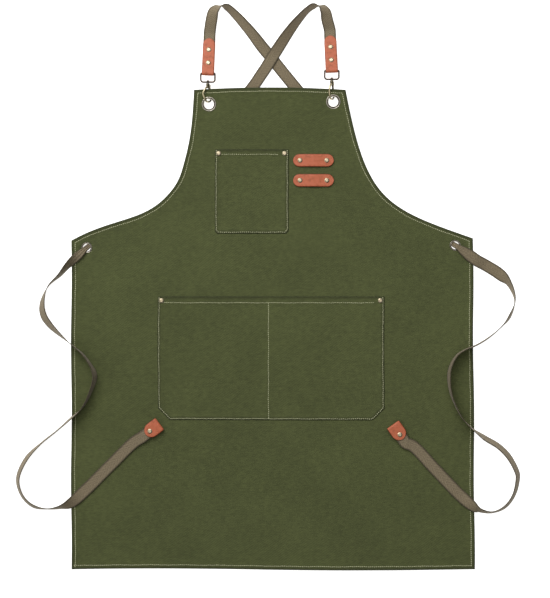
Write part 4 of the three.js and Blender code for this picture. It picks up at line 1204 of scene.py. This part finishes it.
class APRON_OT_rivets(bpy.types.Operator):
    """Makes the rivets of the pockets, the tool loops, the tabs and the tips"""
    bl_idname = "apron.rivets"
    bl_label = "Rivets"

    def execute(self, context):
        hardware = context.scene.apron_hardware
        material = finish_named(context, "brass_plated_rivet")
        for kind, names in RIVETS.items():
            low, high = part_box(f"{names[0]}_cap")
            span = 2 * STACK_HALF if kind in ("tab", "tip") else high[2] - low[2] - 0.0010
            base = master_rivet(hardware.rivet_head, span)
            for name in names:
                piece = base.copy()
                piece.data = base.data.copy()
                piece.name = name
                context.scene.collection.objects.link(piece)
                settle(piece, self.seat(kind, name))
                ride_and_dress(piece, material, APRON, "rivet_metal", f"{name}_cap", f"{name}_back")
            bpy.data.objects.remove(base)
        return {"FINISHED"}

    def seat(self, kind, name):
        """Where a rivet's cap sits, with +Z out of its face."""
        if kind == "tab":
            side, number = name.split("_")[2:]
            return tab_frame(side) @ Matrix.Translation((0, TAB_RIVETS[int(number) - 1], STACK_HALF))
        if kind == "tip":
            return tip_frame(name.split("_")[2]) @ Matrix.Translation((0, TIP_RIVET, STACK_HALF))
        _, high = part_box(f"{name}_cap")
        place = middle_of(f"{name}_cap")
        lift = 0.0010 if kind == "loop" else 0.0007
        return Matrix.Translation((place.x, place.y, high[2] - 0.0014 - 0.0002 + lift * 0.3))


EYELETS = {"bib": (0.0083, 0.0124), "side": (0.0065, 0.0093)}  # radii of the hole and the flange
GROMMET_TURNS = 64
# across the flange, as shares of it, and the heights there; the middle of the groove is the seventh
GROMMET_SECTION = (
    (0.0, -0.0026), (0.0, 0.0002), (0.04, 0.0007), (0.10, 0.00095), (0.18, 0.0009), (0.25, 0.0006),
    (0.29, 0.00015), (0.53, 0.00015), (0.58, 0.0006), (0.66, 0.00095), (0.78, 0.00105), (0.89, 0.00085),
    (0.97, 0.0004), (1.0, 0.0), (0.97, -0.0003), (0.18, -0.0003), (0.18, -0.0026),
)
GROOVE = 6


class APRON_OT_eyelets(bpy.types.Operator):
    """Makes the four eyelets with their rolled rims"""
    bl_idname = "apron.eyelets"
    bl_label = "Eyelets"

    def execute(self, context):
        material = finish_named(context, "nickel_plated_eyelet")
        slope = math.atan(LIFT_SLOPE)
        for kind, (hole, flange) in EYELETS.items():
            for side in SIDES:
                name = f"{kind}_eyelet_{side}"
                place = middle_of(name)
                tilt = Matrix.Rotation(slope if kind == "bib" else 0, 4, "X")
                local = place - HEM
                seat = float(cloth_height(local.x, local.y)) + 0.0002
                matrix = Matrix.Translation((place.x, place.y, seat)) @ tilt
                piece = self.grommet(hole, flange)
                piece.name = f"{name}_grommet"
                settle(piece, matrix)
                ride_and_dress(piece, material, APRON, "eyelet_metal", name)
        return {"FINISHED"}

    def grommet(self, hole, flange):
        """A ring turned from its section: a rolled inner edge, a groove and a rounded outer rim."""
        turns = np.linspace(0, 2 * math.pi, GROMMET_TURNS, endpoint=False)
        radii = np.array([hole + share * (flange - hole) for share, _ in GROMMET_SECTION])
        heights = 0.88 * np.array([height for _, height in GROMMET_SECTION])
        points = np.array([(radius * math.cos(turn), radius * math.sin(turn), height)
                           for turn in turns for radius, height in zip(radii, heights)])
        count = len(GROMMET_SECTION)
        faces = []
        for row in range(GROMMET_TURNS):
            here, there = row * count, (row + 1) % GROMMET_TURNS * count
            faces += [(here + k, there + k, there + (k + 1) % count, here + (k + 1) % count)
                      for k in range(count)]
        mesh = bpy.data.meshes.new("grommet")
        mesh.from_pydata(points.tolist(), [], faces)
        ring = put_in_scene("grommet", mesh)
        mesh.update()
        # painted shade and dirt in the groove between the rims, and painted shade on the part under the
        # cloth
        paint_shade_where(ring, lambda place: abs(place.z - heights[GROOVE]) < 1e-6 or place.z < -0.0002)
        select_only(ring)
        bpy.ops.object.shade_smooth_by_angle(angle=math.radians(40))
        return ring


# ---------------------------------------------------------------- snap hooks

LOOP_WIDTH, LOOP_LENGTH, LOOP_BAR, LOOP_ROUND = 0.0264, 0.0146, 0.0024, 0.0042
HOOK_WIRE, HOOK_LENGTH, HOOK_FRONT, HOOK_REAR, HOOK_NOSE = 0.0026, 0.033, 0.0078, 0.009, 0.0096
EYE_HALF = LOOP_BAR / 2 + 0.0005
BARREL_TOP = -EYE_HALF - 0.0003
BARREL_LENGTH, BARREL_RADIUS = 0.0055, 0.0033
BARREL_FOOT = BARREL_TOP - BARREL_LENGTH
GATE_HINGE = (BARREL_FOOT - 0.0018, -0.0036)
LOOP_CORNER = 0.0012
EYE_RADIUS = 0.0027
# how far each hook's wire is bent sideways, and the hook's roll in degrees
WIRE_BOW = {"left": (0.0034, 36), "right": (0.0006, 28)}
# how far painted shade darkens the hook's nose and its barrel
NOSE_SHADE, BARREL_SHADE = 0.95, 0.85


def hook_frames(side):
    """The snap hook's two frames at rest: the loop's, and the hook's, rolled on its swivel."""
    swivel = JOINTS[f"hook_swivel_{side}"]
    along = Vector(swivel["axis"]).normalized()
    origin = Vector(swivel["pos_m"])

    def placed(across):
        out = across.cross(along).normalized()
        turn = Matrix((across, along, out)).transposed().to_4x4()
        return Matrix.Translation(origin) @ turn

    return placed(Vector((1, 0, 0))), placed(Vector(JOINTS[f"gate_opening_{side}"]["axis"]).normalized())


def wire_piece(name, points, radius, cyclic=False):
    """A round wire bent through points, with its ends closed, as a mesh."""
    curve = bpy.data.curves.new(name, "CURVE")
    curve.dimensions = "3D"
    curve.bevel_depth = radius
    curve.bevel_resolution = 4
    curve.use_fill_caps = not cyclic
    spline = curve.splines.new("POLY")
    spline.points.add(len(points) - 1)
    for point, place in zip(spline.points, points):
        point.co = (*place, 1)
    spline.use_cyclic_u = cyclic
    select_only(put_in_scene(name, curve))
    bpy.ops.object.convert(target="MESH")
    return bpy.context.active_object


def turned_along_y(name, profile, sides=28):
    """A turned piece along Y from its profile of (radius, y), pushed out ring by ring from a disc."""
    deselect_all()
    bpy.ops.mesh.primitive_circle_add(vertices=sides, radius=profile[0][0], fill_type="NGON")
    piece = bpy.context.active_object
    select_faces(piece, lambda centre, normal: True)

    def shape():
        for (radius, y), (next_radius, next_y) in zip(profile, profile[1:]):
            bpy.ops.mesh.extrude_region_move(TRANSFORM_OT_translate={"value": (0, 0, next_y - y)})
            share = next_radius / radius
            bpy.ops.transform.resize(value=(share, share, 1))

    in_edit_mode(piece, shape)
    upright = Matrix.Rotation(math.radians(-90), 4, "X")
    settle(piece, Matrix.Translation((0, profile[0][1], 0)) @ upright)
    bpy.context.view_layer.objects.active = piece
    bpy.ops.object.mode_set(mode="EDIT")
    bpy.ops.mesh.select_all(action="SELECT")
    bpy.ops.mesh.normals_make_consistent(inside=False)
    bpy.ops.object.mode_set(mode="OBJECT")
    piece.name = name
    return piece


def joined(name, pieces, matrix):
    """Joins pieces into one, placed by the matrix, smooth but for its sharp edges."""
    select_only(*pieces)
    bpy.ops.object.join()
    whole = pieces[0]
    whole.name = name
    settle(whole, matrix)
    bpy.ops.object.shade_smooth_by_angle(angle=math.radians(40))
    return whole


def arc(centre, radius, start, end, count):
    """Points of an arc in the XY plane."""
    return [(centre[0] + radius * math.cos(a), centre[1] + radius * math.sin(a), 0)
            for a in np.radians(np.linspace(start, end, count))]


class APRON_OT_hooks(bpy.types.Operator):
    """Makes the two snap hooks: the wire loop with its eye, and the barrel with the bent hook"""
    bl_idname = "apron.hooks"
    bl_label = "Snap hooks"

    def execute(self, context):
        material = finish_named(context, "gunmetal_plated_steel")
        # the hooks get a pale plating as a painted highlight on their wires
        painted_light = finish_named(context, "rubbed_plated_steel")
        for side in SIDES:
            loop_frame, hook_frame = hook_frames(side)
            loop = self.loop(side, loop_frame)
            ride_and_dress(loop, material, f"loop_{side}", "hook_metal", f"snap_loop_{side}")
            hook = self.hook(side, hook_frame)
            ride_and_dress(hook, painted_light, f"hook_{side}", "hook_metal", f"snap_hook_{side}")
            for part in ("swivel_pin", "gate_pin", "gate_spring", "hook_gate"):
                dress(frame["nodes"][f"{part}_{side}"].data, material)
        return {"FINISHED"}

    def loop(self, side, matrix):
        """A rectangle of round bar with rounded lower corners, and the swivel's eye in its lower bar."""
        half, top = LOOP_WIDTH / 2 - LOOP_BAR / 2, LOOP_LENGTH
        points = (arc((half - LOOP_CORNER, top - LOOP_CORNER), LOOP_CORNER, 0, 90, 5)
                  + arc((-half + LOOP_CORNER, top - LOOP_CORNER), LOOP_CORNER, 90, 180, 5)
                  + arc((-half + LOOP_ROUND, LOOP_ROUND), LOOP_ROUND, 180, 270, 9)
                  + arc((half - LOOP_ROUND, LOOP_ROUND), LOOP_ROUND, 270, 360, 9))
        bar = wire_piece("bar", points, LOOP_BAR / 2 + 0.00025, cyclic=True)
        eye = turned_along_y("eye", [(0.0022, -EYE_HALF), (EYE_RADIUS, -EYE_HALF + 0.0004),
                                     (EYE_RADIUS, EYE_HALF - 0.0004), (0.0022, EYE_HALF)])
        return joined(f"hook_loop_{side}", [bar, eye], matrix)

    def hook(self, side, matrix):
        """The barrel, the wire bent down, round and up to its nose, and the two ears of the gate."""
        foot = -HOOK_LENGTH
        bends = [
            (BARREL_FOOT + 0.002, 0.0009), (BARREL_FOOT - 0.0006, 0.003), (BARREL_FOOT - 0.003, 0.0058),
            (BARREL_FOOT - 0.0065, HOOK_FRONT - 0.0003), (BARREL_FOOT - 0.012, HOOK_FRONT),
            (foot + 0.0056, HOOK_FRONT - 0.0001), (foot + 0.002, HOOK_FRONT - 0.002),
            (foot + 0.0003, HOOK_FRONT - 0.0052), (foot, 0), (foot + 0.0005, 0.0046 - HOOK_REAR),
            (foot + 0.0026, 0.0015 - HOOK_REAR), (foot + 0.006, -HOOK_REAR), (foot + HOOK_NOSE, -HOOK_REAR),
        ]
        # each wire is bent to the side between the barrel and the eyelet, the left one much further
        bow, roll = WIRE_BOW[side][0], math.radians(WIRE_BOW[side][1])
        shares = [bow * math.exp(-((y + 0.0195) / 0.006) ** 2) if z > 0.004 else 0 for y, z in bends]
        bent = [(-share * math.cos(roll), y, z + share * math.sin(roll))
                for share, (y, z) in zip(shares, bends)]
        line = curve_through(bent, 6)
        wire = wire_piece("wire", [tuple(point) for point in line], HOOK_WIRE / 2 + 0.00015)
        # painted shade: the nose is darkened where it lies behind the eyelet
        paint_shade_where(wire, lambda place: place.z < 0.001 and place.y < BARREL_FOOT - 0.004, NOSE_SHADE)
        barrel = turned_along_y("barrel", [
            (0.0026, BARREL_FOOT), (BARREL_RADIUS, BARREL_FOOT + 0.0008),
            (BARREL_RADIUS, BARREL_FOOT + 0.0018), (BARREL_RADIUS * 0.9, BARREL_FOOT + 0.0021),
            (BARREL_RADIUS * 0.9, BARREL_TOP - 0.0022), (BARREL_RADIUS, BARREL_TOP - 0.0018),
            (BARREL_RADIUS, BARREL_TOP - 0.0012), (BARREL_RADIUS * 0.75, BARREL_TOP),
        ])
        y, z = GATE_HINGE
        ears = []
        for sign in (-1, 1):
            deselect_all()
            bpy.ops.mesh.primitive_cube_add(
                size=1, location=(sign * 0.002, (y + BARREL_FOOT + 0.002) / 2, z / 2),
                scale=(0.001, BARREL_FOOT + 0.0039 - y, 0.0038 - z / 2))
            ear = bpy.context.active_object
            bevel = ear.modifiers.new("rounding", "BEVEL")
            bevel.width, bevel.segments = 0.0004, 3
            bpy.ops.object.transform_apply(location=True, rotation=True, scale=True)
            bpy.ops.object.modifier_apply(modifier="rounding")
            ears.append(ear)
        # painted shade: the barrel and the gate's ears are darkened all over
        for piece in (barrel, *ears):
            paint_shade_where(piece, lambda place: True, BARREL_SHADE)
        return joined(f"hook_body_{side}", [barrel, wire, *ears], matrix)


# ---------------------------------------------------------------- stage

class APRON_OT_stage(bpy.types.Operator):
    """Makes the floor, the soft lights and the camera, and dresses what is left of the frame"""
    bl_idname = "apron.stage"
    bl_label = "Stage"

    def execute(self, context):
        scene, stage = context.scene, context.scene.apron_stage
        self.dress_frame(context)
        deselect_all()
        bpy.ops.mesh.primitive_plane_add(size=14, location=(0, 0, -0.0006))
        floor = context.active_object
        floor.name = "floor"
        floor.data.materials.append(painted_floor(stage))
        settle(floor)
        self.light("key_light", (-0.9, 1.4, 1.6), 1.4, 22)
        self.light("fill_light", (0.3, 1.7, 2.3), 2.4, 14)
        world = bpy.data.worlds.new("studio")
        world.use_nodes = True
        self.sky(world)
        scene.world = world
        scene.view_settings.view_transform = "Standard"
        lens = bpy.data.cameras.new("camera")
        lens.lens = stage.lens
        camera = put_in_scene("camera", lens)
        distance = stage.frame_height * stage.lens / lens.sensor_width
        aim = HEM + Vector((0.0034, 0.4607, 0))
        camera.location = (aim.x, aim.y, distance + 0.003)
        scene.camera = camera
        return {"FINISHED"}

    def sky(self, world):
        """Bright overhead and to the upper left, dark towards the horizon, as in a light tent."""
        place = add_node(world, "ShaderNodeTexCoord").outputs["Generated"]
        towards = Vector((-0.45, 0.3, 1)).normalized()
        high = add_node(world, "ShaderNodeVectorMath", {0: place, 1: tuple(towards)},
                        operation="DOT_PRODUCT")
        shade = ramp(world, high.outputs["Value"], [(0.0, (0.10, 0.10, 0.10)), (0.45, (0.32, 0.32, 0.32)),
                                                    (0.8, (1.0, 0.99, 0.97)), (1.0, (1.3, 1.29, 1.26))])
        background = world.node_tree.nodes["Background"]
        plug(world, shade, background.inputs["Color"])
        background.inputs["Strength"].default_value = 0.75

    def light(self, name, place, size, power):
        data = bpy.data.lights.new(name, "AREA")
        data.shape, data.size, data.energy = "DISK", size, power
        lamp = put_in_scene(name, data)
        lamp.location = place
        lamp.rotation_euler = (-Vector(place)).to_track_quat("-Z", "Y").to_euler()

    def dress_frame(self, context):
        """Gives the washers behind the eyelets their plating."""
        for kind in EYELETS:
            for side in SIDES:
                dress(frame["nodes"][f"{kind}_eyelet_{side}_washer"].data,
                      finish_named(context, "nickel_plated_eyelet"))


# ---------------------------------------------------------------- add-on

STEPS = ("panel", "pockets", "stitching", "straps", "leather", "rivets", "eyelets", "hooks", "stage")


class APRON_PT_sidebar(bpy.types.Panel):
    bl_label = "Cross-back apron"
    bl_idname = "APRON_PT_sidebar"
    bl_space_type = "VIEW_3D"
    bl_region_type = "UI"
    bl_category = "Apron"

    def draw(self, context):
        for step in STEPS:
            self.layout.operator(f"apron.{step}")
        for group in GROUPS:
            settings = getattr(context.scene, group)
            for name in settings.__annotations__:
                self.layout.prop(settings, name)


GROUPS = {"apron_cloth": ClothSettings, "apron_strap": StrapSettings, "apron_leather": LeatherSettings,
          "apron_hardware": HardwareSettings, "apron_stage": StageSettings}
CLASSES = (*GROUPS.values(), APRON_OT_panel, APRON_OT_pockets, APRON_OT_stitching, APRON_OT_straps,
           APRON_OT_leather, APRON_OT_rivets, APRON_OT_eyelets, APRON_OT_hooks, APRON_OT_stage,
           APRON_PT_sidebar)


def register():
    for made in CLASSES:
        bpy.utils.register_class(made)
    for name, group in GROUPS.items():
        setattr(bpy.types.Scene, name, PointerProperty(type=group))


def unregister():
    for name in GROUPS:
        delattr(bpy.types.Scene, name)
    for made in reversed(CLASSES):
        bpy.utils.unregister_class(made)


def main():
    register()
    for step in STEPS:
        getattr(bpy.ops.apron, step)()


if __name__ == "__main__":
    main()
